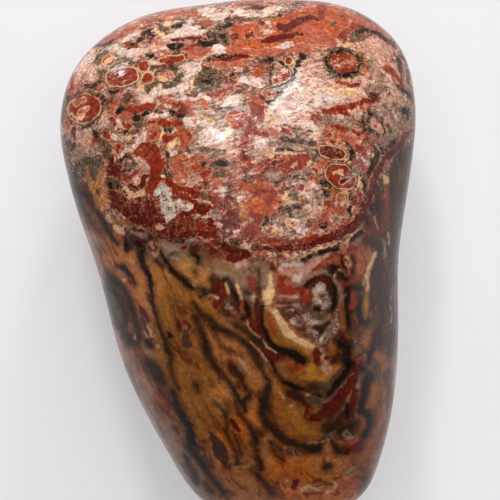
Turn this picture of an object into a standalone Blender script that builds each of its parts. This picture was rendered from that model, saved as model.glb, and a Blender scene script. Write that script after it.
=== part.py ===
"""Leopard skin jasper: one tumbled, polished stone lying on its back.

The stone is broad and domed at one end and tapers to a blunt narrow end. It lies with its
length along Y, broad end at +Y, its fully marked side up, on a small flat spot worn on its
back. It is one piece of rock, so it is one closed body.

Its form is a pillow: a closed outline seen from above, with a front and a back height over
it, both rounded off to nothing at the outline. Each height is the lowest of a few broad
worn facets, blended where they meet, with swells, hollows and a faint waviness on top.
"""

import math
from dataclasses import dataclass

import bmesh
import bpy
from mathutils import Vector, noise

OBJECT_NAME = "leopard_skin_jasper"
STONE_NAME = "jasper_stone"

# Sizes of the stone are written in millimetres; the model is built in metres
MM = 0.001

# The outline seen from above, clockwise from the top of the broad end
OUTLINE = (
    (2.85, 14.88), (7.20, 13.98), (9.35, 12.00), (10.15, 8.80), (9.95, 5.70),
    (9.42, 2.20), (9.15, -2.60), (9.00, -7.20), (8.15, -11.40), (7.45, -13.20),
    (5.20, -14.60), (1.80, -14.88), (-1.70, -14.10), (-4.25, -10.60), (-6.55, -5.90),
    (-8.60, 1.20), (-9.70, 4.80), (-10.15, 7.80), (-9.40, 10.75), (-6.50, 13.40),
    (-1.50, 14.60),
)
OUTLINE_CENTRE = (0.6, 0.6)

# How the rim rounds over: 2 is an ellipse, more is squarer
RIM_SQUARENESS = 2.55

# The widest level of the stone rises and sags along its length
RIM_RISE = 0.03
RIM_SAG = 0.006

# Width over which two facets blend
FACET_BLEND = 0.55

# Waviness left by tumbling: wavelength and depth, coarse and fine
WAVES = ((6.5, 0.16), (2.6, 0.045))

# Depth cut off the back by the resting spot
REST_CUT = 0.30

# Squares along each edge of the cube that the skin of faces is grown from
SKIN_GRID = 28
SKIN_HALF_AXES = (10.2, 14.9, 8.6)

# Farthest that the skin can be from the middle, and how finely it is found
SEARCH_REACH = 22.0
SEARCH_STEPS = 36

STONE_COLOUR = (0.235, 0.070, 0.030, 1.0)
STONE_ROUGHNESS = 0.14


@dataclass(frozen=True)
class Facet:
    """A broad worn face: its height over the rim level at (x, y), and its slopes."""

    x: float
    y: float
    height: float
    slope_x: float
    slope_y: float

    def height_at(self, x: float, y: float) -> float:
        """Return the facet's height at (x, y)."""
        return self.height + self.slope_x * (x - self.x) + self.slope_y * (y - self.y)


@dataclass(frozen=True)
class Swell:
    """A rounded lump, or a hollow where its rise is negative, from one end to the other."""

    start: tuple[float, float]
    end: tuple[float, float]
    reach: float
    rise: float

    def rise_at(self, x: float, y: float) -> float:
        """Return how far the lump raises the surface at (x, y)."""
        run_x = self.end[0] - self.start[0]
        run_y = self.end[1] - self.start[1]
        length = max(run_x * run_x + run_y * run_y, 1e-9)
        along = ((x - self.start[0]) * run_x + (y - self.start[1]) * run_y) / length
        along = min(max(along, 0.0), 1.0)
        gap_x = x - self.start[0] - along * run_x
        gap_y = y - self.start[1] - along * run_y
        return self.rise * math.exp(-(gap_x * gap_x + gap_y * gap_y) / self.reach ** 2)


# The marked side: a dome on the broad end, a brow across it, and a long face that falls away
FRONT_FACETS = (
    Facet(0.0, 8.0, 7.75, 0.00, -0.34),
    Facet(-6.0, 6.5, 6.85, 0.35, -0.16),
    Facet(6.3, 7.5, 7.20, -0.40, -0.20),
    Facet(0.5, 1.8, 8.75, 0.00, -0.05),
    Facet(2.0, -6.5, 7.60, -0.02, 0.23),
    Facet(-4.0, -4.0, 7.05, 0.42, 0.10),
    Facet(7.9, -1.0, 6.70, -1.30, 0.05),
)

FRONT_SWELLS = (
    Swell((-6.8, 2.6), (5.6, 0.6), 0.90, 0.16),
    Swell((-5.5, -0.2), (4.6, -1.1), 0.85, -0.10),
    Swell((-6.8, -1.0), (-6.0, -3.6), 1.30, -0.22),
    Swell((-4.6, 3.6), (-3.9, 2.6), 0.80, -0.14),
    Swell((-6.6, 10.4), (-6.6, 10.4), 1.60, 0.16),
    Swell((5.9, 11.2), (5.9, 11.2), 1.70, 0.14),
    Swell((5.6, 5.2), (6.2, 4.2), 1.10, 0.12),
    Swell((3.0, -4.2), (4.4, -8.2), 1.20, 0.14),
    Swell((-0.6, -5.0), (1.4, -9.8), 0.80, -0.10),
    Swell((8.2, 1.6), (7.6, -4.0), 0.90, -0.20),
    Swell((2.9, -2.2), (3.2, -2.2), 0.70, -0.08),
    Swell((-1.2, 8.4), (1.0, 7.2), 1.10, -0.10),
)

# The back: flatter, with four hollows and three lumps of its own
BACK_FACETS = (
    Facet(0.4, 1.5, 8.45, 0.00, 0.00),
    Facet(0.0, 10.0, 7.50, 0.06, -0.34),
    Facet(-6.3, 2.0, 7.10, 0.42, 0.04),
    Facet(6.9, 2.0, 7.00, -0.44, 0.00),
    Facet(1.5, -8.0, 6.95, 0.05, 0.24),
    Facet(-3.6, -8.6, 6.25, 0.40, 0.18),
)

BACK_SWELLS = (
    Swell((-5.8, 7.2), (-4.6, 9.4), 1.70, -0.24),
    Swell((5.6, 8.6), (6.4, 6.6), 1.40, 0.18),
    Swell((3.6, -6.6), (5.2, -9.2), 1.50, -0.22),
    Swell((-3.6, -4.6), (-2.6, -7.4), 1.20, 0.16),
    Swell((1.0, 11.4), (3.0, 11.0), 1.20, -0.16),
    Swell((7.4, -1.2), (7.2, -3.4), 1.20, -0.16),
    Swell((0.6, -11.2), (1.6, -12.2), 1.10, 0.14),
)


class Outline:
    """The stone's outline as a distance from its middle for each direction."""

    def __init__(self) -> None:
        """Order the outline's points by direction and find the slope at each."""
        polar = []
        for x, y in OUTLINE:
            across = x - OUTLINE_CENTRE[0]
            along = y - OUTLINE_CENTRE[1]
            polar.append((math.atan2(along, across), math.hypot(across, along)))
        polar.sort()
        before = (polar[-1][0] - math.tau, polar[-1][1])
        after = (polar[0][0] + math.tau, polar[0][1])
        second = (polar[1][0] + math.tau, polar[1][1])
        second_last = (polar[-2][0] - math.tau, polar[-2][1])
        self.points = [second_last, before, *polar, after, second]
        self.slopes = [self.slope(index) for index in range(1, len(self.points) - 1)]

    def slope(self, index: int) -> float:
        """Return the change of distance with direction at a point, from its neighbours."""
        (a0, r0), (a1, r1), (a2, r2) = self.points[index - 1:index + 2]
        rise_before = (r1 - r0) / (a1 - a0)
        rise_after = (r2 - r1) / (a2 - a1)
        return (rise_before * (a2 - a1) + rise_after * (a1 - a0)) / (a2 - a0)

    def distance(self, angle: float) -> float:
        """Return the outline's distance from the middle in a direction, by a smooth curve."""
        index = 1
        while self.points[index + 1][0] < angle:
            index += 1
        (a0, r0), (a1, r1) = self.points[index:index + 2]
        width = a1 - a0
        t = (angle - a0) / width
        start = self.slopes[index - 1] * width
        end = self.slopes[index] * width
        return (
            (2 * t ** 3 - 3 * t ** 2 + 1) * r0
            + (t ** 3 - 2 * t ** 2 + t) * start
            + (3 * t ** 2 - 2 * t ** 3) * r1
            + (t ** 3 - t ** 2) * end
        )


def blended_lowest(heights: list[float]) -> float:
    """Return the lowest of some heights, rounded off where two are close."""
    low = min(heights)
    total = sum(math.exp((low - height) / FACET_BLEND) for height in heights)
    return low - FACET_BLEND * math.log(total)


def waviness(x: float, y: float, side: float) -> float:
    """Return the faint waves of the worn surface, unlike on the two sides."""
    total = 0.0
    for wavelength, depth in WAVES:
        place = Vector((x, y, side * 2.0 * wavelength)) / wavelength
        total += depth * noise.noise(place)
    return total


def height_over_rim(x: float, y: float, side: float) -> float:
    """Return the stone's full height at (x, y) on the front (side 1) or back (side -1)."""
    facets, swells = (FRONT_FACETS, FRONT_SWELLS) if side > 0 else (BACK_FACETS, BACK_SWELLS)
    height = blended_lowest([facet.height_at(x, y) for facet in facets])
    height += sum(swell.rise_at(x, y) for swell in swells)
    return max(height + waviness(x, y, side), 0.5)


def rim_level(y: float) -> float:
    """Return the level of the stone's widest line at a place along its length."""
    return RIM_RISE * y - RIM_SAG * y * y


def is_inside(point: Vector, outline: Outline) -> bool:
    """Tell whether a point, measured in millimetres, is inside the stone."""
    across = point.x - OUTLINE_CENTRE[0]
    along = point.y - OUTLINE_CENTRE[1]
    share = math.hypot(across, along) / outline.distance(math.atan2(along, across))
    if share >= 1.0:
        return False
    level = point.z - rim_level(point.y)
    side = 1.0 if level > 0.0 else -1.0
    rounding = (1.0 - share ** RIM_SQUARENESS) ** (1.0 / RIM_SQUARENESS)
    return abs(level) < height_over_rim(point.x, point.y, side) * rounding


def skin_point(corner: Vector, outline: Outline) -> Vector:
    """Return where the skin lies in the direction of a point on the starting cube.

    Args:
        corner: A point on the cube from -1 to 1.
        outline: The stone's outline.

    Returns:
        The point of the stone's skin, in millimetres.
    """
    even = Vector(math.tan(math.pi / 4.0 * share) for share in corner).normalized()
    reach = Vector(even[axis] * SKIN_HALF_AXES[axis] for axis in range(3))
    direction = reach.normalized()
    middle = Vector((*OUTLINE_CENTRE, rim_level(OUTLINE_CENTRE[1])))
    near = 0.0
    far = SEARCH_REACH
    for _ in range(SEARCH_STEPS):
        half = (near + far) / 2.0
        if is_inside(middle + direction * half, outline):
            near = half
        else:
            far = half
    return middle + direction * near


def stone_mesh() -> bpy.types.Mesh:
    """Return the stone's mesh, resting on z = 0 with its box centred on the origin."""
    outline = Outline()
    skin = bmesh.new()
    bmesh.ops.create_cube(skin, size=2.0)
    bmesh.ops.subdivide_edges(skin, edges=skin.edges[:], cuts=SKIN_GRID - 1, use_grid_fill=True)
    for vert in skin.verts:
        vert.co = skin_point(vert.co, outline)
    floor = min(vert.co.z for vert in skin.verts) + REST_CUT
    sides_x = [vert.co.x for vert in skin.verts]
    sides_y = [vert.co.y for vert in skin.verts]
    centre_x = (min(sides_x) + max(sides_x)) / 2.0
    centre_y = (min(sides_y) + max(sides_y)) / 2.0
    for vert in skin.verts:
        height = max(vert.co.z - floor, 0.0)
        vert.co = Vector((vert.co.x - centre_x, vert.co.y - centre_y, height)) * MM
    bmesh.ops.recalc_face_normals(skin, faces=skin.faces[:])
    mesh = bpy.data.meshes.new(STONE_NAME)
    skin.to_mesh(mesh)
    skin.free()
    mesh.shade_smooth()
    return mesh


def stone_material() -> bpy.types.Material:
    """Return the plain polished stone: the mean colour of the marked surface."""
    material = bpy.data.materials.new("polished_jasper")
    material.use_nodes = True
    shader = material.node_tree.nodes["Principled BSDF"]
    shader.inputs["Base Color"].default_value = STONE_COLOUR
    shader.inputs["Roughness"].default_value = STONE_ROUGHNESS
    shader.inputs["Metallic"].default_value = 0.0
    return material


def main() -> None:
    """Clear the scene and build the stone in a collection of its own."""
    for leftover in list(bpy.data.objects):
        bpy.data.objects.remove(leftover, do_unlink=True)
    collection = bpy.data.collections.new(OBJECT_NAME)
    bpy.context.scene.collection.children.link(collection)
    stone = bpy.data.objects.new(STONE_NAME, stone_mesh())
    stone.data.materials.append(stone_material())
    collection.objects.link(stone)


main()
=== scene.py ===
"""A tumbled, polished leopard skin jasper: one stone lying on a plain pale surface, seen from above.

The stone's skin starts as a copy of the CAD node, is made finer where the photograph shows it, and
is then marked mineral by mineral, as the rock is: each mineral is a field of signed distances on
the skin, and the material turns those fields into colour, gloss and fine unevenness.
"""

import logging
import math
import random
from dataclasses import dataclass, field
from enum import Enum

import bpy
import numpy as np
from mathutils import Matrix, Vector, kdtree, noise

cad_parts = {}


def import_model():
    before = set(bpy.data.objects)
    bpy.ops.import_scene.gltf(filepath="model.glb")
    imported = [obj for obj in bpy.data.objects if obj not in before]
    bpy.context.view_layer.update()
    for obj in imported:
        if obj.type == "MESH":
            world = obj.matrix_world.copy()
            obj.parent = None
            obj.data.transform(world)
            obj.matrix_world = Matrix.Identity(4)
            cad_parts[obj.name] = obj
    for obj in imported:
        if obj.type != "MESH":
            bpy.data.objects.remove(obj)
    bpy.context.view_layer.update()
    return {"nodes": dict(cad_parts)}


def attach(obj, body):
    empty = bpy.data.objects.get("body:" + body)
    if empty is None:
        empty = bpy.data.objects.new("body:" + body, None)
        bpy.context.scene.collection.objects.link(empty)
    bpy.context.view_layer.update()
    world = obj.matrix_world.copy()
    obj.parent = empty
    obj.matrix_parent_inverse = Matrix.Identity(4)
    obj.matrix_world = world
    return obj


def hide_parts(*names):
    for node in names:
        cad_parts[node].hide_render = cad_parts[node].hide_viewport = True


log = logging.getLogger("leopard_skin_jasper")

MM = 0.001
PIXEL = 0.057  # mm of stone for one pixel of the photograph, at the level of its rim
RIM_LEVEL = 8.0  # mm, height of the stone's widest line over the floor
PHOTO_CENTRE = (250.0, 250.0)
VIEW_CENTRE = (0.684, 0.513)  # mm, the point of the stone under the middle of the photograph
CAMERA_HEIGHT = 230.0  # mm over the rim level
SENSOR = 36.0
PHOTO_SIDE = 500
REACH = 9.0  # px, how far a mark's distance field is kept
DEPTH_WEIGHT = 0.35  # share of a height difference that counts as distance from a mark


def linear(hex_colour: str) -> tuple[float, float, float, float]:
    """Turn an sRGB hex colour into the linear colour that a socket takes.

    Args:
        hex_colour: the colour, such as "#A03A22".

    Returns:
        Linear red, green, blue and a full alpha.
    """
    parts = [int(hex_colour[i : i + 2], 16) / 255 for i in (1, 3, 5)]
    red, green, blue = (c / 12.92 if c <= 0.04045 else ((c + 0.055) / 1.055) ** 2.4 for c in parts)
    return (red, green, blue, 1.0)


@dataclass(frozen=True)
class MineralFinish:
    """One mineral of the polished rock.

    Quartz and feldspar polish to a glassy gloss; the clayey and iron-stained ones stay duller.
    """

    colour: str
    mottle: str  # the second colour, in cloudy patches or grains
    grain: float  # mm, size of those patches
    softness: float  # px, how softly its edge passes into its neighbour
    ragged: float  # px, how far the teeth of its edge reach
    streaky: float  # px, how far its edge is drawn out along the flow of the rock
    roughness: float


class Mineral(Enum):
    """The minerals of the rock, in the order in which the material lays them."""

    WHITE = MineralFinish("#CAB3A5", "#AB8A7B", 0.16, 1.3, 2.0, 3.4, 0.10)  # milky quartz
    CREAM = MineralFinish("#D2A878", "#A97448", 0.18, 0.6, 1.3, 0.6, 0.11)  # feldspar
    PINK = MineralFinish("#BB8A74", "#935E4B", 0.20, 1.3, 2.0, 2.6, 0.10)  # rosy quartz with iron dust
    SALMON = MineralFinish("#A25640", "#7E3826", 0.18, 1.2, 2.2, 1.4, 0.12)
    ORANGE = MineralFinish("#A84C24", "#7C3014", 0.18, 0.8, 2.2, 1.2, 0.12)
    BRICK = MineralFinish("#852D1A", "#5E190E", 0.20, 0.6, 1.8, 0.8, 0.12)  # red jasper
    MAROON = MineralFinish("#5F1D12", "#3C0F0A", 0.20, 0.6, 1.5, 0.5, 0.10)  # dark red jasper
    MAUVE = MineralFinish("#6E4A3E", "#442822", 0.22, 1.1, 1.6, 0.8, 0.13)
    TAUPE = MineralFinish("#96735C", "#66483A", 0.18, 1.3, 2.4, 1.6, 0.15)
    OLIVE = MineralFinish("#5A4B33", "#332818", 0.16, 1.2, 2.6, 0.8, 0.17)
    GOLD = MineralFinish("#AC6C24", "#784214", 0.22, 1.7, 1.8, 1.6, 0.12)  # limonite
    OCHRE = MineralFinish("#96541F", "#6C3A16", 0.40, 1.8, 1.2, 1.6, 0.12)
    UMBER = MineralFinish("#502C18", "#33190D", 0.26, 1.4, 1.4, 1.0, 0.13)
    SLATE = MineralFinish("#3D3020", "#261C12", 0.26, 1.5, 1.4, 0.8, 0.14)
    BLACK = MineralFinish("#261B14", "#140E0A", 0.18, 0.9, 1.8, 0.8, 0.10)  # manganese
    TAN = MineralFinish("#A46F3C", "#80522C", 0.32, 1.8, 1.6, 1.8, 0.12)
    SLOE = MineralFinish("#50322A", "#3A231E", 0.20, 0.5, 1.0, 0.5, 0.12)
    SAGE = MineralFinish("#C2B4A4", "#9A8B7B", 0.16, 0.8, 1.8, 1.8, 0.11)  # greenish grey quartz


WHITE, CREAM, PINK, SALMON, ORANGE, BRICK, MAROON, MAUVE, TAUPE = list(Mineral)[:9]
OLIVE, GOLD, OCHRE, UMBER, SLATE, BLACK, TAN, SLOE, SAGE = list(Mineral)[9:]
Mark = tuple  # a mineral, then its strokes, each with column, row and half width of its points in pixels


class Ground(Enum):
    """Tints of the rock's fine-grained ground, between its marks. The plum tint is partly the rock's mauve
    and partly a painted sheen along the rims. The copper tint is partly the rock's orange and partly painted
    warm light on the narrow end.
    """

    FELDSPAR = "#BF917B"
    ASH = "#76573E"
    ROSE = "#8F4A32"
    LIVER = "#5A2013"
    EMBER = "#84371F"
    HONEY = "#8A5422"
    RUST = "#AC6838"
    COPPER_AND_WARM_GLOW = "#C4631F"
    CHESTNUT = "#703616"
    PLUM_AND_RIM_SHEEN = "#957060"
    BUFF = "#A46F40"
    DRAB = "#4A2E18"
    STEEL = "#452C18"


FELDSPAR, ASH, ROSE, LIVER, EMBER, HONEY, RUST, COPPER_AND_WARM_GLOW, CHESTNUT, PLUM_AND_RIM_SHEEN, BUFF, DRAB, STEEL = Ground

# Soft washes of the ground: under each tint, the column, row and reach of its washes in pixels
WASHES = {
    FELDSPAR: (86, 62, 26, 150, 60, 20, 78, 128, 18, 128, 160, 20, 220, 130, 20, 300, 75, 24, 330, 95, 28,
     385, 85, 24, 290, 115, 24, 310, 205, 20, 348, 212, 18, 326, 222, 20),
    ASH: (120, 36, 22, 190, 34, 24, 112, 132, 22, 180, 80, 26, 190, 130, 26, 395, 120, 20, 290, 145, 22,
     310, 165, 20, 165, 250, 16, 190, 250, 16, 225, 270, 16, 260, 285, 16),
    ROSE: (150, 30, 20, 88, 96, 22, 110, 104, 16, 155, 160, 20, 205, 165, 20, 240, 100, 20, 260, 50, 26,
     300, 32, 26, 375, 50, 22, 285, 285, 18, 350, 262, 14),
    LIVER: (118, 190, 20, 140, 212, 30, 178, 218, 24, 345, 180, 18, 225, 240, 24, 335, 236, 16, 372, 215, 18,
     222, 300, 16, 265, 345, 16, 340, 395, 18),
    EMBER: (120, 150, 18, 212, 192, 20, 345, 140, 20, 270, 175, 26, 262, 215, 26, 205, 222, 24,
     280, 246, 18),
    HONEY: (178, 300, 26, 205, 310, 18, 160, 350, 18, 185, 370, 24, 200, 415, 26, 295, 415, 24,
     315, 378, 18),
    RUST: (116, 255, 18, 145, 290, 18, 225, 345, 22, 255, 380, 20, 225, 400, 18, 245, 475, 26, 265, 440, 18,
     330, 462, 20),
    # copper: partly the rock's orange, partly a painted warm glow of light bounced up onto the narrow end
    COPPER_AND_WARM_GLOW: (235, 430, 18, 290, 468, 22, 310, 492, 22, 340, 490, 18),
    CHESTNUT: (100, 215, 18, 140, 345, 16, 168, 400, 14, 250, 330, 14, 384, 405, 20, 362, 450, 18,
     372, 470, 18),
    # plum: partly the rock's mauve, partly a painted sheen reflected along the lower left rim and the right
    # rim
    PLUM_AND_RIM_SHEEN: (92, 245, 12, 98, 275, 16, 124, 350, 18, 138, 395, 18, 158, 440, 24, 185, 475, 22, 396, 380, 12),
    BUFF: (180, 272, 13, 200, 284, 10, 88, 262, 10),
    DRAB: (80, 160, 22, 375, 175, 16, 112, 305, 16, 345, 330, 24, 330, 300, 18, 380, 300, 20, 340, 420, 18,
     378, 372, 14),
    STEEL: (400, 170, 18, 398, 230, 18, 300, 320, 20, 396, 310, 14),
}

# Upper left, from the rim to the column 200
UPPER_LEFT = (
    (WHITE, (78, 68, 3, 91, 57, 3)), (BRICK, (72, 77, 2, 71, 88, 2.5, 68, 92, 2)),
    (UMBER, (66, 92, 2, 64, 112, 3)), (BLACK, (69, 96, 1.8, 66, 104, 2.6, 63, 105, 1.6),
     (62, 117, 2.8, 62, 122, 2)), (SALMON, (98, 43, 2, 104, 40, 3.4, 113, 36, 2.2, 117, 37, 2.6,
     123, 34, 2.4), (127, 31, 2.5, 135, 28, 3)), (BLACK, (95, 46, 1.5, 108, 44, 1.4, 116, 38, 1)),
    (WHITE, (124, 41, 1.8, 136, 34, 2), (110, 49, 2.4, 115, 48, 3.8, 121, 50, 2.2),
     (118, 53, 1.4, 129, 53, 2.6, 150, 47, 2)), (BRICK, (126, 44, 2.6, 134, 46, 3, 150, 44, 2)),
    (BLACK, (131, 44, 2.4, 133, 45, 1.6), (139, 41, 2.4, 142, 39, 1.8), (145, 34, 1.6, 148, 31, 2.6)),
    (OLIVE, (97, 61, 2.4, 100, 56, 2.6, 107, 52, 1.4)), (CREAM, (105, 64, 3, 109, 60, 5.4, 115, 60, 3)),
    (ORANGE, (106, 62, 1.6, 110, 60, 3.4, 114, 60, 2)), (CREAM, (105.5, 63, 1.8),
     (139, 84, 2, 141, 89, 2.4)), (BRICK, (110, 60, 2.4, 112, 60, 1.6)), (OLIVE, (120, 60, 2, 126, 60, 2.6),
     (131, 60, 1.2, 132, 64, 2.2), (103, 72, 2.4, 99, 77, 2.4, 98, 80, 1.6), (126, 101, 2.2, 131, 97, 2.6)),
    (BLACK, (101, 81, 1.5), (87, 85, 1.4, 92, 86, 3, 94, 84, 1.6), (108, 92, 2, 112, 93, 2, 117, 91, 1.6)),
    (WHITE, (141, 95, 1.6, 146, 99, 2.4, 152, 101, 2)),
    (BRICK, (76, 96, 3, 79, 100, 4.4, 84, 101, 4, 88, 94, 3.2),
     (91, 99, 4.8, 96, 98, 3, 97, 102, 2.6, 93, 106, 3.6),
     (68, 112, 3.4, 75, 109, 5, 84, 108, 6.4, 91, 107, 4), (70, 120, 4, 80, 117, 4.6, 89, 112, 4)),
    (MAROON, (79.5, 103.5, 1.8)), (PINK, (84, 108, 2.6, 89, 105, 1.2), (74, 112, 2)),
    (CREAM, (71, 115, 1, 76, 116, 1.5, 80, 119, 1.9, 84.5, 115, 1.1)),
    (BLACK, (100, 95, 1.8, 103, 98, 3.4, 104, 102, 2, 101, 105, 1.4)), (OLIVE, (94, 118, 2.6, 98, 114, 2.4),
     (107, 104, 2)), (BLACK, (95, 117, 1.8), (121, 108, 2.8, 118, 112, 1.8)), (BRICK, (112, 105, 3.4),
     (128, 109, 2.6, 138, 110, 4, 146, 107, 4, 153, 106, 3)), (ORANGE, (112.5, 105, 1.8)),
    (SALMON, (122, 117, 3, 130, 114, 2.4)), (BLACK, (144, 114, 2.6, 150, 110, 1.8), (137, 118, 3.4)),
)

# Top, columns 140 to 240
TOP_LEFT = (
    (SALMON, (166, 16, 2, 188, 12, 2.6)), (ORANGE, (194, 14, 3)),
    (CREAM, (165, 25, 2, 171, 24, 2.6, 175, 22, 1.6)), (BLACK, (174, 26, 1.8, 180, 26, 2.6, 184, 24, 1.4),
     (149, 35, 1.8, 153, 36, 1.8), (140, 40, 2.8)), (OLIVE, (159, 24, 1.4, 163, 28, 2.2)),
    (CREAM, (158, 32, 2, 162, 34, 2.2)), (MAUVE, (141, 46, 2.6, 148, 45, 2.4)),
    (PINK, (155, 47, 4, 163, 44, 5, 172, 40, 3)), (SALMON, (157, 44, 2, 161, 42, 1.6)),
    (MAROON, (172, 40, 1.8, 190, 38, 2, 206, 39, 1.6), (141, 64, 4.4, 146, 66, 4.2, 143, 70, 2)),
    (WHITE, (166, 38, 2, 187, 30, 5, 194, 30, 4.6, 201, 31, 2.6), (186, 26, 3, 190, 22, 2.6),
     # the next stroke, along the top rim, is partly a pale band of the rock and partly painted sheen
     (201, 10, 2.6, 207, 12, 4.6, 214, 16, 5, 222, 17, 4, 228, 12, 4, 240, 12, 3.6, 248, 14, 3.6, 258, 14, 3,
     268, 12, 3, 283, 7, 2)), (MAUVE, (231, 12, 2)), (UMBER, (226, 19, 1.1, 238, 18, 1)),
    (SALMON, (199, 24, 1.6, 204, 23, 3, 210, 22, 2)), (BLACK, (194.5, 25, 1.8, 197, 27.5, 0.9, 203, 28, 0.8),
     (219, 28, 1.6, 230, 25, 2.6, 227, 22, 1.6), (207, 35, 1.8, 213, 36, 2.8, 225, 36, 3, 226, 41, 2.2),
     (167, 45, 1.5, 173, 46, 3.4, 178, 46, 3.8, 182, 46, 1.8),
     (200, 42, 1.9, 204, 44, 3.2, 213, 44, 2.8, 216, 41, 2.6), (147, 55, 1.8, 152, 56, 2.4)),
    (BRICK, (186, 50, 2.4, 198, 44, 1.4)), (SALMON, (190, 52, 3, 197, 54, 4, 209, 51, 2.4)),
    (WHITE, (213, 48, 2.8, 219, 46, 3, 222, 50, 3, 215, 52, 2.4)),
    (UMBER, (163, 53, 1, 181, 54, 1, 188, 58, 1.1, 190, 61, 1.3, 186, 64.5, 1.6)),
    (MAROON, (156, 58, 1.6, 170, 58, 3, 180, 58, 2), (166, 62, 2, 170, 62, 2.4)),
    (WHITE, (145, 65, 1.6, 150, 63, 2.1, 164, 61, 1.1)),
    (UMBER, (150, 68.5, 1.4, 160, 66.5, 1.8, 176, 67, 1.8)),
    (OLIVE, (176, 71, 1.6, 180, 76, 2.6, 178, 82, 2.2, 170, 86, 2.2, 162, 87, 2, 157, 84, 1.6)),
    (CREAM, (167, 77, 7.4, 164, 73, 3), (148, 78, 7), (160, 84, 1.8, 160, 89, 2)),
    (BRICK, (166, 72, 2.2, 168, 72, 1.4)), (ORANGE, (172, 79.5, 1.5)), (BRICK, (168, 77.5, 1.5)),
    (MAROON, (148, 78, 5.4)), (OLIVE, (148, 88, 2.8, 154, 85, 2)),
    (WHITE, (186, 68, 4, 193, 66, 5, 199, 65, 3, 190, 73, 3.4, 186, 79, 3, 185, 86, 3, 176, 91, 3.4,
     166, 92, 2.6)), (UMBER, (195, 62, 1, 200, 63, 0.8), (202, 64.5, 1.3, 203, 68, 1.6, 209, 68, 1.5)),
    (OLIVE, (208, 80, 11, 212, 80, 10)), (BLACK, (204, 81, 4.4, 208, 82, 5, 214, 82, 4.4)),
    (CREAM, (192, 77, 0.9, 192, 90, 0.9)), (SALMON, (208, 64, 1.8, 228, 64, 2.6, 240, 62, 2.6),
     (165, 96, 2.6, 171, 94, 2)), (MAROON, (214, 60, 1.4, 230, 59, 3, 246, 56, 2.2)),
    (BLACK, (208, 59.5, 1.6, 232, 53.5, 0.9), (224, 76, 1.5, 226, 78, 1.2), (233, 74.5, 1.6, 232, 78, 1)),
    (UMBER, (183, 93, 1, 189, 95, 1.3, 196, 95, 1.3)), (BRICK, (208, 94, 2, 211, 96, 2),
     (217, 94, 2, 222, 91, 2.2, 234, 87, 1.5)),
)

# Top, columns 230 to 330: the orange and brick band and the chain of orbs
TOP_MIDDLE = (
    (UMBER, (250, 6, 2, 262, 8, 1.5)), (MAUVE, (284, 5, 3, 293, 8, 3)),
    (OLIVE, (231, 19.5, 1, 275, 17.5, 1.4)), (BLACK, (279, 15, 1.5, 290, 13, 1.3),
     (293, 4, 1.4, 303, 2, 1.5)), (ORANGE, (238, 33, 8, 252, 28, 6, 268, 28, 8, 300, 18, 8, 316, 14, 9,
     334, 13, 9), (240, 46, 3.4, 262, 44, 6, 282, 38, 8, 320, 30, 12, 338, 28, 10)),
    (SALMON, (230, 50, 3.4, 262, 52, 3, 306, 48, 5), (306, 30, 6, 313, 36, 8, 322, 36, 8, 332, 42, 5)),
    (MAROON, (259, 22, 2.8, 263, 25, 2), (263, 42, 2, 270, 40, 3.8, 296, 34, 3, 302, 34, 2),
     (278, 25, 3, 286, 28, 4.4, 293, 24, 5, 301, 20, 3.4, 310, 18, 3, 318, 19, 2.4),
     (248, 36, 3, 252, 33, 2.4), (234, 36, 3.8, 236, 36, 3.2)), (BLACK, (247.5, 40.5, 1.5)),
    (WHITE, (262, 31, 1.8, 267, 32, 2.6, 272, 31, 1.4), (268.5, 23, 1.9, 270, 26.5, 1.1),
     (279, 46, 1.8, 286, 46, 2.6, 292, 44, 1.5)), (OLIVE, (282, 43, 1, 290, 42.5, 1),
     (256, 64.5, 1, 264, 61.5, 1.4)), (BLACK, (264, 60, 1.5, 270, 60, 3, 273, 59, 2),
     (281, 62, 1.4, 284, 64.5, 1.6), (301, 55, 3, 304, 57, 3, 300, 61, 2),
     (298, 62, 2.2, 294, 75, 3, 290, 81, 3.4, 280, 90, 2.8, 278, 96, 2.8, 273, 98, 2.2, 268, 102, 2.4),
     (273, 65.5, 1.4, 270.5, 72, 1.9, 270, 79, 1.9, 272.5, 85, 1.8, 279, 87, 1.8)),
    (OLIVE, (275, 57.5, 1.2, 288, 51, 1), (248, 72, 2.2)), (CREAM, (290, 60, 5.4, 294, 56, 2)),
    (BRICK, (289, 60, 4.2)), (PINK, (276, 72, 3.8, 282, 71, 4.8, 289, 72, 4.4),
     (277, 79, 5, 283, 76, 5.6, 288, 74, 4.2), (276, 84, 3)),
    (BRICK, (278, 74, 2.2, 283, 72, 3.6, 288, 72, 2.2), (276, 80, 3.8, 282, 77, 4.2, 286, 74, 3),
     (276, 84, 2)), (WHITE, (291.5, 72, 1.7), (274.5, 73.5, 1.3, 278, 70.5, 1.1)),
    (ORANGE, (253, 75, 2.6, 257, 75, 3.6, 262, 68, 2.4)), (SALMON, (268, 93, 6.6)),
    (ORANGE, (267, 93, 5, 270, 93, 5)), (BRICK, (267, 93, 3.4, 270, 93, 3.4)),
    (SAGE, (298, 69, 1.6, 299, 76, 2.2, 284, 96, 3.4, 270, 110, 2.8)),
    (ORANGE, (254, 98, 3.4, 260, 99, 3.4)), (OLIVE, (252.5, 92, 0.8, 257, 88, 0.9, 262, 86.5, 1),
     (235, 93, 1, 248, 87, 0.9)), (WHITE, (243, 79, 4, 251, 81, 5, 258, 82, 4, 262, 88, 2.4)),
)

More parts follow.
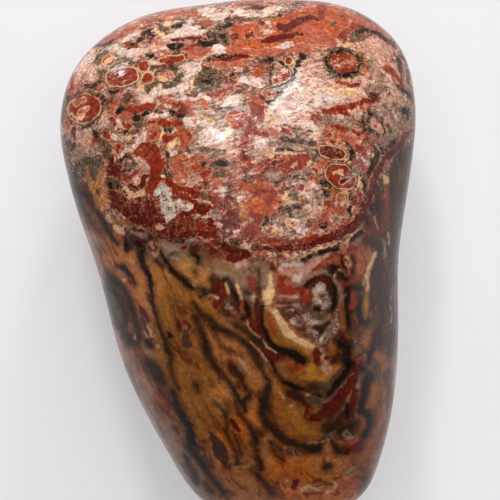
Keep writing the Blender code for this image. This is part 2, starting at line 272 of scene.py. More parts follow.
# Top right: the big ringed orb and the speckled patch beside it
TOP_RIGHT = (
    (ORANGE, (334, 11, 5, 343, 19, 6, 345, 27, 4.6, 338, 26, 5)), (BRICK, (322, 8, 5, 322, 17, 4),
     (345, 38, 3, 340, 36, 3, 354, 26, 3, 361, 27, 2.4), (338, 82, 1.5, 351, 86, 2.4, 358, 84, 1.8)),
    (SALMON, (352, 17, 4, 364, 21, 4, 386, 36, 2)), (OLIVE, (333, 21, 2, 334, 26, 1.6), (342, 15.5, 1.8),
     (358, 15, 1.6), (367, 20, 2, 370, 22, 1.4)), (CREAM, (338, 44, 1.3, 353, 46, 2)),
    (PINK, (364, 46, 4, 372, 43, 5, 381, 46, 6.4, 388, 52, 5.6, 378, 57, 6, 369, 53, 4),
     (372, 51, 2.8, 375, 49, 2)), (TAUPE, (372, 64, 5, 380, 86, 6, 371, 93, 4)),
    (PINK, (384, 55, 2.2, 377, 66, 2, 374, 80, 2)), (CREAM, (358, 47, 2, 371, 64, 1),
     (385, 83.5, 1.1, 393, 88, 1.3, 405, 99, 1)), (BLACK, (352, 33, 1.9, 365, 30, 2, 379, 33, 2.6,
     384, 38, 3, 394, 45, 1.8)), (OLIVE, (352, 38, 2.6, 364, 38, 2), (347.5, 48.5, 1.6), (351, 53.5, 1.8)),
    (ORANGE, (356, 56, 2.4, 364, 68, 3.6)), (SALMON, (384, 66, 1.8, 388, 67, 3)),
    (BRICK, (386, 68, 2.4, 391, 71, 3.4, 405, 87, 2)), (BLACK, (398, 58, 2.4, 400, 64, 2.6, 402, 79, 1.5),
     (402, 56.5, 1.8, 410, 68, 1.4, 412.5, 78, 1.6)), (TAUPE, (405, 67, 3, 406, 76, 4.4, 408, 84, 3.2)),
    (MAROON, (408, 70, 2.4, 409, 83, 2.4)), (BLACK, (396, 86, 1.5, 409, 94, 3, 413, 98, 2.2)),
    (UMBER, (372, 95, 3, 376, 98, 3)),
)

# Left side, rows 110 to 210
LEFT = (
    (OLIVE, (84, 126, 2, 89, 124, 2.4)), (BLACK, (83, 127, 2, 88, 126, 2.4),
     (96, 133, 2.4, 94, 136, 1.6, 97, 137, 1.6)), (UMBER, (74, 129, 2, 74, 146, 2)),
    (SALMON, (66, 121, 2, 68, 128, 2)), (MAUVE, (66, 138, 4, 69, 145, 4)),
    (BRICK, (93, 141, 2.6, 97, 140, 2.4), (106, 135, 3.4, 109, 138, 2)),
    (PINK, (82, 141, 3, 90, 138, 3, 86, 145, 2.4), (104, 118, 3.4, 103, 125, 3.4)),
    (OLIVE, (100, 141, 2, 104, 144, 3, 108, 149, 3, 107, 156, 3)), (WHITE, (103, 126, 1.6, 104, 122, 1.2)),
    (BRICK, (112, 119, 2.6, 115, 124, 2)), (WHITE, (119, 122, 1.6, 121, 125, 1.2),
     (114, 135, 1.6, 115.5, 138, 1.6)), (BRICK, (124, 124, 2.4, 129, 127, 3), (118, 147, 3, 117, 151, 2.4)),
    (BLACK, (126, 132, 2.2)), (CREAM, (130, 137, 2, 128, 142, 1.4)),
    (OLIVE, (128, 143.5, 1.4, 133, 141.5, 1.6)), (WHITE, (139, 141, 3, 143, 137, 2.6, 137, 146, 2)),
    (CREAM, (143, 132.5, 1.8)), (OLIVE, (136, 124, 2.4, 142, 126, 2.4, 148, 125, 2)),
    (TAUPE, (76, 152, 4, 86, 150, 5, 95, 151, 4)), (CREAM, (86, 150, 2.2, 92, 151, 2)),
    (TAUPE, (73, 159, 4, 79, 160, 4, 90, 154, 3)),
    (OLIVE, (82, 164, 4, 86, 160, 3.4, 92, 162, 4, 98, 161, 4), (88, 171, 5, 96, 170, 4, 94, 177, 3)),
    (GOLD, (100, 171, 2.6, 103, 176, 3.4, 93, 187, 4, 101, 186, 4), (86, 167, 2, 88, 177, 2.2, 92, 183, 3),
     (96, 192, 4.4, 103, 192, 4.4, 98, 200, 4.4, 105, 200, 4, 101, 207, 4)),
    (UMBER, (97, 189.5, 1.8, 98.5, 192.5, 1.6), (84, 185, 3, 90, 195, 3)),
    (SLATE, (76, 176, 3, 76, 170, 2.4)), (BLACK, (76, 190, 1.6, 89, 198, 2)),
    (SLATE, (78, 198, 2.6, 83, 207, 2.8, 90, 201, 2.2, 94, 210, 2.2)), (OCHRE, (84, 201, 1.6, 88, 209, 2)),
    (OLIVE, (110, 180, 3, 114, 190, 3)), (BLACK, (110, 184, 2.2, 111, 187, 2.2),
     (117, 183, 1.6, 118.5, 187.5, 1.6)), (MAROON, (109, 170, 3, 112, 162, 2.6, 112, 157, 1.8),
     (110, 172, 3.4, 117, 168, 4, 116, 175, 3.4, 124, 173, 3)), (SLATE, (120, 162, 2.6, 130, 155, 2.8),
     (128, 167, 3.4, 134, 165, 3)), (BLACK, (121, 160, 1.8, 130, 155, 1.6),
     (134, 162.5, 1.2, 129, 169, 1.2)), (WHITE, (119, 157.5, 0.9, 134, 145.5, 1.1)),
    (BRICK, (122, 179, 2.6, 131, 178, 2.4, 136, 172, 2.6)), (PINK, (136, 179, 3, 138, 184, 2)),
    (WHITE, (137, 183, 1.1, 133, 178, 0.9)), (MAROON, (131, 187, 3.4, 136, 189, 2.6, 143, 185, 3.4,
     147, 177, 4)), (CREAM, (125, 188, 1.4, 132, 195, 2.4, 138, 197, 2.2, 143, 196, 2, 144, 192, 1.2)),
    (MAROON, (118, 199, 3, 114, 205, 4, 124, 204, 4, 145, 199, 3)), (BLACK, (136, 202, 2.2, 139, 204, 1.8)),
    (OLIVE, (149, 185.5, 1.6, 145, 187.5, 1.2)),
)

# The middle of the broad end, rows 95 to 200
CENTRE = (
    (BRICK, (134, 153, 2.4, 141, 148, 4.4, 148, 147, 5.4, 154, 152, 6, 144, 154, 5),
     (156, 158, 5, 159, 166, 5, 158, 174, 5.4, 161, 178, 3.4)),
    (MAROON, (150, 154, 2, 157, 168, 2.2, 160, 176, 3.4, 144, 152, 1.8)),
    (PINK, (144, 162, 4, 150, 168, 3.6, 146, 172, 3)), (WHITE, (147, 166, 1.3, 152, 168, 1.2)),
    (MAROON, (145, 177, 4, 149, 179, 3), (205, 184, 2.6, 205, 188, 2.6, 201, 190, 2.4)),
    (SALMON, (165, 102, 2, 172, 96, 2)), (WHITE, (150, 96, 3, 158, 91, 4, 168, 92, 3, 180, 90, 2.6),
     (168, 102, 1.4, 176, 98.5, 1.9, 185, 98, 1.9, 193, 100, 1.6),
     (197, 99, 1.6, 202, 97, 1.8, 208, 98.5, 1.4)), (UMBER, (188, 95.5, 1.1, 196, 95.5, 1.7)),
    (SALMON, (170, 104, 3, 190, 105, 4, 200, 102, 4, 206, 104, 3)),
    (BRICK, (173, 104, 2, 183, 104, 3, 181, 111, 3, 187, 107, 2.4)),
    (ORANGE, (203, 101, 2.4, 206, 105, 2.4, 207, 109, 1.8), (191, 115, 2, 195, 116, 2)),
    (OLIVE, (198, 105.5, 1.8, 202, 106.5, 1.6), (211, 106, 1.8, 217, 108, 2.4, 235, 110, 1.4)),
    (BLACK, (171, 112, 2, 179, 116, 2, 184, 116, 1.2)), (WHITE, (225, 104, 4, 232, 101, 5, 238, 106, 3.6),
     (152, 117, 3, 160, 117, 3.6, 165, 114, 2.6)), (BLACK, (143, 115, 1.4, 151, 110, 1.2, 161, 112, 1.1)),
    (BRICK, (150, 122, 2.4, 160, 122, 3, 180, 124, 2.4)),
    (SALMON, (150, 126, 3, 158, 130, 4, 156, 137, 3.4)),
    (BRICK, (152, 131, 2, 156, 134, 2.4, 150, 138, 1.4)), (SLATE, (164, 128, 2.2, 169, 130, 3)),
    (BLACK, (166, 129, 1.8, 170, 130, 2.6, 171, 132, 1.4)),
    (CREAM, (162, 129, 0.9, 163, 132.5, 1.2, 160, 143, 1.4)),
    (BRICK, (165, 136, 2.6, 168, 138, 3, 165, 141, 2.4, 173, 137, 2)),
    (ORANGE, (176, 134, 3, 181, 133, 3.4, 184, 138, 3, 182, 144, 3)),
    (SALMON, (186, 133, 2.4, 187, 140, 3, 185, 147, 2.4)),
    (CREAM, (168, 149, 2, 175, 142, 2.4, 179, 142, 1.6)), (BLACK, (167, 153.5, 1.8, 169.5, 155, 1.8)),
    (WHITE, (172, 153.5, 1.8, 174.5, 153, 1.1), (186, 121, 3, 207, 122, 2.6),
     (203, 139, 4, 208, 133, 5, 216, 136, 5, 210, 144, 4, 218, 141, 4, 223, 137, 2.6),
     (163.5, 165, 0.9, 161.5, 172, 1, 163, 176, 1)), (CREAM, (209, 119, 2, 214, 122, 2.4, 208, 124, 2)),
    (TAUPE, (217, 118, 4, 224, 129, 3)), (CREAM, (228, 133, 3, 235, 131, 3)),
    (ORANGE, (231, 117, 4, 235, 124, 4)), (BRICK, (234, 128, 1.6, 238, 127, 1.6), (230, 141, 2, 236, 140, 2),
     (189, 133, 1.6, 190.5, 138, 1.6)), (OLIVE, (202, 150.5, 1.6, 214, 149, 1.1)),
    (TAUPE, (193, 150, 3, 200, 155, 3, 222, 155, 3)), (SALMON, (196, 158, 2.4, 202, 157, 2.8, 207, 160, 2)),
    (CREAM, (190, 156, 2, 186, 158, 2)), (ORANGE, (176, 158, 2, 183, 156, 1.8, 203, 172, 3, 209, 171, 2.8,
     194, 170, 2)), (BRICK, (200, 176, 2.4, 206, 174, 2.4, 211, 170, 1.6)),
    (BLACK, (203, 166, 2, 206, 164, 1.2), (213, 164, 1.2, 224, 164, 2.2, 222, 160, 1.2)),
    (OLIVE, (217, 176, 2.2, 225, 175, 1.8, 212, 165, 1.6)), (MAUVE, (230, 165, 2.4, 232, 168, 2.4)),
    (SALMON, (176, 165, 5, 184, 170, 5, 176, 174, 4, 190, 178, 4), (216, 184, 3, 221, 181, 3)),
    (PINK, (190, 180, 4, 198, 179, 3, 188, 186, 3.4)),
    (SLATE, (164, 164, 2.6, 164, 172, 2.8, 168, 175, 1.8)), (BLACK, (164, 166, 1.8, 166, 175.5, 1.2),
     (205.5, 184, 1.6, 205, 187, 1.6)), (BRICK, (168, 181, 3, 178, 191, 3)),
    (OLIVE, (228, 184, 1.8, 230, 186.5, 1.4)),
)

# Right of the middle of the broad end, columns 230 to 330, rows 95 to 190
CENTRE_RIGHT = (
    (WHITE, (234, 104, 4, 238, 98, 3)), (OLIVE, (241, 104, 0.9, 244, 101, 1, 250, 102.5, 1, 243, 107, 0.8)),
    (TAUPE, (246, 107, 2.4, 248, 111, 2)), (ORANGE, (252, 97, 3, 258, 99, 4, 262, 103, 3),
     (232, 114, 3.4, 239, 115, 3.6, 246, 118, 3, 236, 122, 3.4)),
    (BRICK, (250, 103, 2.6, 256, 106, 4, 254, 112, 4, 262, 108, 3, 260, 118, 4),
     (236, 119, 3, 243, 121, 3.6, 238, 127, 2.4), (252, 119, 4, 252, 126, 4, 248, 131, 3.4, 270, 134, 2.6),
     (245, 135, 3.4, 243, 150, 4.4, 243, 157, 4, 251, 166, 2.4)), (MAROON, (252, 121, 2, 251, 126, 1.8),
     (243, 152, 2, 246, 160, 1.6)), (SALMON, (270, 131, 3, 278, 135, 2.4)),
    (WHITE, (258, 141, 3.4, 264, 141, 3, 267, 139, 2, 258, 146, 2),
     (270, 121, 4, 278, 119, 6, 284, 121, 4, 276, 127, 3, 281, 109, 4, 283, 114, 4)), (SLATE, (235, 145, 2)),
    (TAUPE, (235, 133, 3.4, 241, 131, 2)), (CREAM, (269, 124, 3.4, 274, 119, 3), (272, 154, 3, 268, 150, 2)),
    (UMBER, (277, 126.5, 0.9, 283, 124.5, 1, 303, 130, 0.7)),
    (PINK, (290, 97, 4, 296, 102, 4, 290, 108, 4, 298, 116, 4, 305, 118, 4)),
    (WHITE, (303, 106, 5, 311, 108, 5, 319, 103, 4, 325, 98, 5, 318, 96, 4),
     (308, 122, 3, 314, 128, 3, 300, 123, 2)), (MAUVE, (309, 102, 1.6, 313, 102.5, 1.2),
     (324, 102, 1.2, 328, 101.5, 1.4)), (BRICK, (312, 118, 2.6, 317, 118, 3.4, 316, 122, 2.4),
     (283, 130, 2.4, 288, 132, 2.2, 291, 136, 1.8)), (OLIVE, (327, 122, 2.4, 324, 118, 1.6)),
    (ORANGE, (329, 126, 2.4)), (BLACK, (308, 130.5, 1.6, 311, 131, 0.9)),
    (TAUPE, (283, 138, 5, 290, 142, 6, 298, 143, 6, 302, 138, 4)),
    (BLACK, (282, 138, 2, 286, 139, 3, 290, 141, 1.6, 295, 141, 1.8), (284, 150, 1.8, 281, 149.5, 1.2),
     (288, 150.5, 1.6, 293, 151.5, 1.6), (312, 143, 2.8, 315, 145, 1.6, 313, 140, 1.4)),
    (SLATE, (297, 139, 2.4, 302, 143, 2)), (BRICK, (280, 143.5, 1.8)), (PINK, (312, 136, 2.2, 315, 139, 1.6),
     (262, 151, 3, 258, 156, 3)), (WHITE, (280, 155, 1.4, 286, 153.5, 1.5, 298, 155, 1.2)),
    (BRICK, (263, 165, 4, 270, 164, 6, 280, 161, 6.4, 300, 160, 6, 306, 158, 4),
     (268, 169, 3, 300, 166, 4, 305, 163, 3, 285, 172, 2.4)), (MAROON, (268, 167, 2.4, 284, 158, 1.6)),
    (PINK, (293, 166, 2.2, 296, 164, 1.4)), (ORANGE, (286, 156, 1.8, 292, 156, 1.6)),
    (CREAM, (308, 163, 1.6, 311, 162, 1.6)), (BLACK, (308, 154.5, 1.5)), (OLIVE, (313, 158, 2.4),
     (246, 171, 1.6, 247, 176, 1.8, 244, 182, 1.6)), (MAROON, (246, 182, 2.2, 243, 186, 2.4)),
    (TAUPE, (270, 176, 4, 278, 175, 4, 284, 178, 3, 296, 181, 4)), (BLACK, (283, 179, 1.6, 291, 176, 1.2),
     (296, 177, 1.6, 301, 179, 1.5, 309, 176, 1), (277, 182.5, 1.5, 280, 183, 1),
     (284, 188, 1.8, 288, 188, 1.4, 290, 186, 1)), (WHITE, (292, 182, 1.1, 307, 184, 1.2),
     (312, 186, 2.8, 310, 189, 2)), (BRICK, (284, 184, 2.4), (301, 188, 3, 305, 186, 2.2),
     (315, 170, 3, 317, 172, 2)), (ORANGE, (312, 178, 2.4, 317, 182, 2.4),
     (260, 186, 4, 268, 187, 4, 252, 187, 3)), (BLACK, (322, 183, 2, 327, 186, 3, 329, 188, 2)),
)

# Right of the broad end, columns 320 to 415, rows 90 to 190
RIGHT_UPPER = (
    (CREAM, (332, 92, 3, 346, 93, 4, 358, 92, 3)), (WHITE, (322, 95, 4, 331, 99, 5, 340, 97, 4)),
    (MAUVE, (326, 101.5, 1.6)), (PINK, (350, 99, 3, 362, 95, 3)),
    (BRICK, (325, 112, 3, 345, 108, 3.4, 365, 101, 2.8, 375, 100, 2.4), (338, 112, 2.4, 348, 114, 2)),
    (UMBER, (371, 95, 3, 377, 99, 3)), (TAUPE, (325, 119, 4, 333, 120, 3, 350, 124, 4, 357, 127, 3),
     (384, 113, 5, 389, 122, 6, 390, 133, 6, 384, 140, 4, 396, 124, 4)),
    (ORANGE, (357, 107, 1.6, 364, 108, 2.4), (332, 126, 3.6, 339, 128, 4.2, 344, 129, 2.6)),
    (BRICK, (366, 110, 2), (332, 126, 2.4, 338, 127, 3, 343, 129, 1.6)),
    (WHITE, (356, 113, 2.4, 361, 112, 2), (338, 117, 1.6, 342, 118, 2.4, 342, 116, 1.4)),
    (SALMON, (337, 137, 3, 345, 138, 4, 352, 141, 3.6, 347, 145, 2.6)), (SLATE, (334, 141, 2.2)),
    (ORANGE, (322, 148, 4, 332, 148, 4, 342, 150, 3.6)), (CREAM, (345, 149, 2, 349, 153, 2.4, 347, 159, 2)),
    (MAROON, (320, 152, 4, 328, 152, 6, 337, 153, 6, 343, 155, 4)),
    (BLACK, (346, 144, 1.8, 350, 149, 1.8, 352, 154, 2.4, 350, 160, 1.8)),
    (SALMON, (320, 166, 4, 324, 162, 3, 332, 161, 2)), (CREAM, (333, 160.5, 1, 344, 164, 1.2)),
    (BRICK, (331, 170, 7, 338, 174, 9.4, 345, 179, 9, 350, 183, 5)), (MAROON, (338, 174, 2.4)),
    (CREAM, (331, 173, 1.6, 334, 175.5, 1.7, 333, 170.5, 1.2), (342, 174.5, 1.4, 344.5, 177, 1.9)),
    (BLACK, (353, 171, 1.6, 357, 173, 1.6)), (CREAM, (357, 178, 2.6, 360, 186, 3)),
    (BLACK, (364, 181, 1.1, 365, 190, 1.4), (368, 113, 1.6, 372, 115, 2.4, 371, 111, 1.4)),
    (PINK, (386, 117, 2, 391, 126, 2.4)), (SAGE, (393, 112, 1.2, 397, 120, 1.6)), (SLATE, (388, 126, 1.8),
     (390, 131, 2), (363, 117, 2)), (PINK, (396, 120, 2)), (OLIVE, (379.5, 117.5, 1.8, 382, 121, 1.8)),
    (BLACK, (362, 122, 1.5, 372, 131.5, 1.7, 375, 133, 1.3), (363, 130, 2, 366, 132, 1.6),
     (404, 110, 2.6, 407, 114, 2.8, 408, 118, 2), (392, 144, 2.2, 396, 140, 1.4),
     (386, 148.5, 1.7, 390, 146, 1.4)), (PINK, (370, 120, 3.4, 376, 126, 4.8, 382, 133, 3.8)),
    (BRICK, (370, 121, 1.8, 379, 127, 2.6, 383, 132, 2.8), (354, 131, 1.6, 359, 134, 2, 362, 134, 1.2),
     (366, 134, 2, 374, 142, 2), (357, 146, 3, 363, 150, 3.4, 362, 160, 3.6, 358, 164, 2.4, 364, 168, 3)),
    (CREAM, (374, 123, 2.2, 378, 130, 1.6)), (UMBER, (366, 138.5, 1.4, 376, 148, 1.6),
     (393, 165, 3, 394, 200, 3.4, 392, 275, 3)), (WHITE, (362.5, 157, 0.9, 366, 162, 1.1)),
    (GOLD, (400, 100, 1.1, 401, 107, 1.1)), (BLACK, (382, 152.5, 1.7, 380, 149, 1.2)),
    (CREAM, (377, 147, 0.9, 381, 152.5, 0.9), (372, 156, 2.2)),
    (MAROON, (411, 130, 2, 405, 136, 2.8, 401, 144, 3.4, 384, 161, 3, 376, 175, 3.6, 372, 192, 4,
     367, 200, 3.4)), (BLACK, (378, 154, 2.4, 376, 159, 3.4, 370, 170, 2.8, 369, 174, 1.5),
     (401, 150, 1.8, 394, 160, 1.9), (380, 179, 1, 379.5, 187, 1.3)), (SALMON, (386, 162, 2)),
)

# Left half of the ridge, columns 150 to 250, rows 180 to 280
RIDGE_LEFT = (
    (MAROON, (113, 196, 6, 130, 210, 9, 148, 220, 10, 170, 226, 9, 196, 228, 8, 234, 220, 7),
     (150, 205, 5, 156, 216, 4, 152, 226, 5, 162, 226, 4)),
    (BRICK, (138, 152, 5, 150, 152, 8, 158, 165, 7, 150, 190, 5),
     (176, 190, 5, 190, 194, 6, 208, 202, 7, 225, 206, 6)),
    (SAGE, (158, 191, 4.6, 163, 188, 4.8, 167, 204, 7, 170, 211, 6.6, 168, 221, 2.4)),
    (TAUPE, (162, 192, 1, 170, 211, 1)), (BRICK, (174, 186, 3.4, 178, 192, 3.2, 193, 201, 3)),
    (MAROON, (193, 203, 4, 200, 207, 5.4, 207, 207, 4.2, 203, 213, 3.4, 192, 212, 3, 182, 215, 2.4)),
    (CREAM, (182, 192.5, 0.9, 199, 200.5, 1, 207, 201, 0.9)),
    (WHITE, (180, 204, 2.4, 188, 207, 3.4, 192, 206, 1.6),
     (218, 191, 2.2, 223, 190, 3, 226, 188, 2, 222, 195, 2.2), (240, 198, 2.1)),
    (UMBER, (206, 184, 2.6, 204, 189, 1.9), (196, 248, 5.2)), (BLACK, (205.5, 183.5, 1.6)),
    (OLIVE, (202, 195, 1.8, 205, 196.5, 1.6)), (BLACK, (210, 197, 1.8, 212, 198.5, 1.4),
     (225.5, 197.5, 1.5, 229.5, 197, 1.8), (222, 206, 1.5, 226, 207, 1.6)),
    (CREAM, (209, 202, 1, 213, 205.5, 1)), (BRICK, (215, 200, 3, 222, 201, 2.6)),
    (MAUVE, (214, 213, 4.4, 219, 216, 4)), (PINK, (216, 223, 2.6, 221, 226, 2.4),
     (158, 226, 2.2, 163, 229, 2)), (MAROON, (229, 212, 2.6, 237, 226, 4, 230, 222, 2.6)),
    (BRICK, (178, 219, 3, 190, 222, 4, 212, 230, 3, 182, 230, 3)),
    (CREAM, (197, 214, 0.9, 206, 218.5, 0.9, 208, 213, 0.9)), (BLACK, (191, 219, 1.3, 194, 222, 2.4),
     (201, 219, 1.3, 204.5, 222, 1.9), (186, 228, 2.6), (193, 229, 1.9, 196, 228, 1.7), (208.5, 227, 1.8)),
    (OLIVE, (176, 223, 1.6)), (MAROON, (150, 233, 4.6, 180, 236, 3.4, 192, 233, 3, 205, 234, 3.2,
     214, 237, 3.4, 222, 243, 3), (196, 248, 3.7)), (BRICK, (209, 238, 2.6, 214, 241, 2.4)),
    (BLACK, (170, 240, 1.4, 180, 241, 2, 192, 236, 1), (191, 253, 1.4, 199, 258, 2.4, 198, 262, 1.5)),
    (TAUPE, (163, 246, 3.6, 172, 248, 5, 180, 246, 3.6, 168, 254, 4, 176, 258, 4),
     (217, 271, 3, 225, 272, 3)), (OLIVE, (172, 254, 3, 177, 252, 2)),
    (MAROON, (182, 248, 1.8, 185, 247, 2.2), (205, 244, 1.6, 215, 251, 2.2, 210, 254, 1.8),
     (224, 247, 3, 240, 253, 5, 248, 255, 4, 230, 257, 4, 237, 262, 3)),
    (TAN, (172, 264, 3, 182, 266, 6, 190, 264, 6, 195, 273, 6, 205, 273, 5)),
    (UMBER, (194.5, 270, 1.5, 196, 273.5, 1.3)), (BLACK, (160, 251, 1.4, 171, 269, 2.6, 183, 280, 2.4),
     (222, 240, 1.6, 225, 244, 1.6), (237, 245, 1.7)), (MAUVE, (151, 243, 2.4, 151, 249, 2.4)),
    (WHITE, (244, 247.5, 1.2, 249.5, 245, 1.4), (237.5, 231.5, 1.6)), (PINK, (236, 266, 3, 245, 263, 2.6)),
)

# Middle of the ridge, columns 240 to 340, rows 180 to 280
RIDGE_MIDDLE = (
    (ORANGE, (245, 186, 4, 256, 192, 6, 276, 200, 5, 262, 208, 6, 250, 204, 5, 272, 212, 4)),
    (BRICK, (253, 194, 2.8, 268, 190, 2.6, 275, 192, 2.4, 272, 200, 3, 267, 202, 2)),
    (MAROON, (280, 202, 1.5), (269, 203, 1.5)), (GOLD, (243, 205, 3, 242, 213, 3, 247, 218, 2.4)),
    (BRICK, (252, 214, 3, 259, 218, 4.4, 250, 226, 4, 257, 231, 4, 244, 232, 4)),
    (CREAM, (286, 193, 1.6, 286, 199, 2, 290, 202, 2.4)), (TAUPE, (294, 195, 3, 298, 200, 2.6),
     (280, 219, 4, 286, 216, 3, 274, 222, 3)), (OLIVE, (295, 194, 1.4, 297, 199, 1.4),
     (248, 222, 1.9, 252, 221, 1.5)), (BLACK, (281, 210, 1.6, 286, 209, 2), (288, 208, 1.6, 291, 216, 1.8),
     (294, 208, 1.8, 298, 206, 2.4, 300, 208, 1.4), (275.5, 214.5, 1.8, 273, 216, 1.4),
     (266.5, 218.5, 1.8, 268, 221, 1.2), (266, 224, 2, 262, 226, 1.1)),
    (PINK, (308, 186, 3, 306, 195, 3, 311, 202, 4, 313, 209, 5, 317, 215, 4)),
    (WHITE, (306, 194, 1.6, 312, 209, 2.4)), (MAUVE, (312, 197, 1, 312, 206, 1)),
    (TAUPE, (317, 193, 3, 319, 199, 3.4), (296, 213, 4, 303, 214, 3)),
    (BLACK, (322, 190, 1.6, 327, 196, 2, 332, 197, 1.8)), (BRICK, (325, 203, 2.6, 332, 206, 2.4)),
    (SALMON, (301, 202, 2, 304, 203, 1.6)), (CREAM, (289, 222, 3, 294, 222, 3.6, 290, 226, 2.6),
     (263, 230.5, 1.5, 268, 228, 1.3)), (TAUPE, (288, 232, 2.6, 290, 236, 2), (336, 214, 3, 338, 220, 3),
     (258, 265, 4, 266, 270, 4, 258, 276, 4)), (WHITE, (300, 222, 3, 302, 227, 5, 300, 232, 5.4,
     298, 235, 4)), (ORANGE, (292, 224, 2.2)), (BRICK, (295, 234, 1.5)),
    (OLIVE, (306, 221, 1.8, 309, 225, 1.8)), (SALMON, (314, 223, 2.6, 315, 228, 2.8)),
    (BLACK, (322, 227, 2, 325, 226, 1.4)), (SALMON, (330, 224, 2.2)),
    (CREAM, (272, 233, 1.5, 282, 230, 1.8)), (GOLD, (272, 235.5, 1.8)),
    (BRICK, (262, 240, 3, 290, 242, 3, 303, 241, 3, 315, 237, 3.4)), (ORANGE, (272, 244, 1.8, 280, 245, 2)),
    (MAROON, (254, 247, 3.4, 270, 249, 3.2, 305, 247, 3.4, 333, 236, 4)),
    (SALMON, (262, 252, 2, 267, 253, 1.6)), (CREAM, (284, 254, 0.9, 292, 257, 1, 301, 257.5, 1.2,
     311, 251.5, 1.1, 319, 249, 1, 336, 243.5, 1), (269, 254, 1.2, 280, 269.5, 1)),
    (BLACK, (302, 262, 2.6, 304, 261, 1.6), (307, 259, 2, 311, 257, 2.6, 313, 255, 1.4)),
    (PINK, (306, 268, 4, 312, 263, 4, 329, 255, 2.4)), (BLACK, (320, 254, 2.2, 325, 251, 2.7, 335, 248, 2.4,
     340, 245, 1.5), (263, 262, 2), (272, 268, 1.8)), (BRICK, (313, 270, 1.6, 330, 258, 1.8, 339, 254, 1.6)),
    (MAROON, (278, 264.5, 1.5)), (SALMON, (286, 270, 2.4, 295, 270, 2.4)),
    (BRICK, (282, 277, 3, 289, 279, 2.4)), (TAUPE, (297, 275, 3, 302, 278, 3)),
)

# Right end of the ridge and the side face, columns 320 to 400, rows 180 to 280
RIDGE_RIGHT = (
    (ORANGE, (333, 193, 3, 337, 197, 3.6, 339, 202, 2.6, 335, 200, 2.2)), (BRICK, (338.5, 198.5, 1.6),
     (360, 195, 3.4, 354, 203, 3, 362, 203, 3.4)), (CREAM, (344, 192, 2.8, 346, 198, 3.2, 342, 203, 2.6)),
    (BLACK, (340, 191, 2, 341, 194, 1.2), (349, 197, 1.1, 356, 198, 2.3)),
    (SALMON, (324, 216, 4, 330, 212, 4, 342, 211, 4)),
    (BLACK, (350, 206, 1.6, 348, 211, 1.6, 351, 214, 1.4)),
    (MAROON, (366, 202, 4.4, 359, 220, 5.4, 351, 227, 5.4, 329, 239, 4.2),
     (374, 212, 4, 378, 222, 4.4, 380, 233, 4.4, 374, 230, 4), (391, 270, 1.6)),
    (SLATE, (359, 207, 1.5, 360.5, 210.5, 1.7)), (ORANGE, (330, 229.5, 0.9, 345, 225, 1, 354, 217.5, 0.9)),
    (UMBER, (366, 240, 4, 373, 243, 4, 378, 248, 3), (378, 262, 3, 374, 279, 4),
     (400, 185, 1, 399.5, 215, 1)), (BLACK, (365, 217, 1.8, 367.5, 223, 1.6)),
    (BRICK, (366, 229, 1.6, 366, 233, 2.6)), (TAUPE, (354, 243, 2.6, 360, 240, 2.4)),
    (CREAM, (347, 240.5, 1.2, 357, 230.5, 1.2, 361, 229, 1.2, 364, 231.5, 1)),
    (BLACK, (351, 240, 2.3, 361, 232, 2.6)), (CREAM, (347, 243, 1.8)), (BRICK, (348, 249, 2, 355, 248, 2)),
    (SALMON, (344, 246, 1.4, 344, 256, 1.4)), (BLACK, (343, 255, 1.4, 342, 261, 1.6, 344, 267, 2.4),
     (352, 256, 1.8, 354.5, 261, 1.8, 353, 274, 1.5),
     (334, 268, 4.2, 332, 272, 2, 338, 268, 2.4, 337, 274, 1.8)), (CREAM, (347, 259, 3, 348, 264, 3.2),
     (339, 271, 1.6, 340.5, 274.5, 1.2)), (SALMON, (348, 262, 2)), (BRICK, (346, 259.5, 1.5)),
    (BLACK, (342, 276, 2.4, 345, 280, 2), (366, 186, 1.2, 365, 194, 1.4), (371, 205, 1.7, 370, 209.5, 1.9),
     (376, 201, 1.6, 379, 216, 1.7), (380, 184, 1.2, 377, 198, 1.3)), (TAUPE, (370, 212.5, 1.6)),
    (CREAM, (374, 217, 0.9, 378, 230, 0.9), (386, 178, 2, 386, 183, 2.4), (389, 233, 1.5, 389.5, 245, 1.1),
     (376, 253, 1.6, 370, 264, 2.2, 367, 278, 2)), (BRICK, (386, 186, 2.2, 388, 205, 2.4, 388, 226, 1.4)),
    (SALMON, (385.5, 186, 0.9, 386, 196, 1)), (SLATE, (381, 245, 2, 380, 254, 2, 383, 268, 2)),
    (WHITE, (384, 243, 0.9, 384, 259, 0.8)),
)

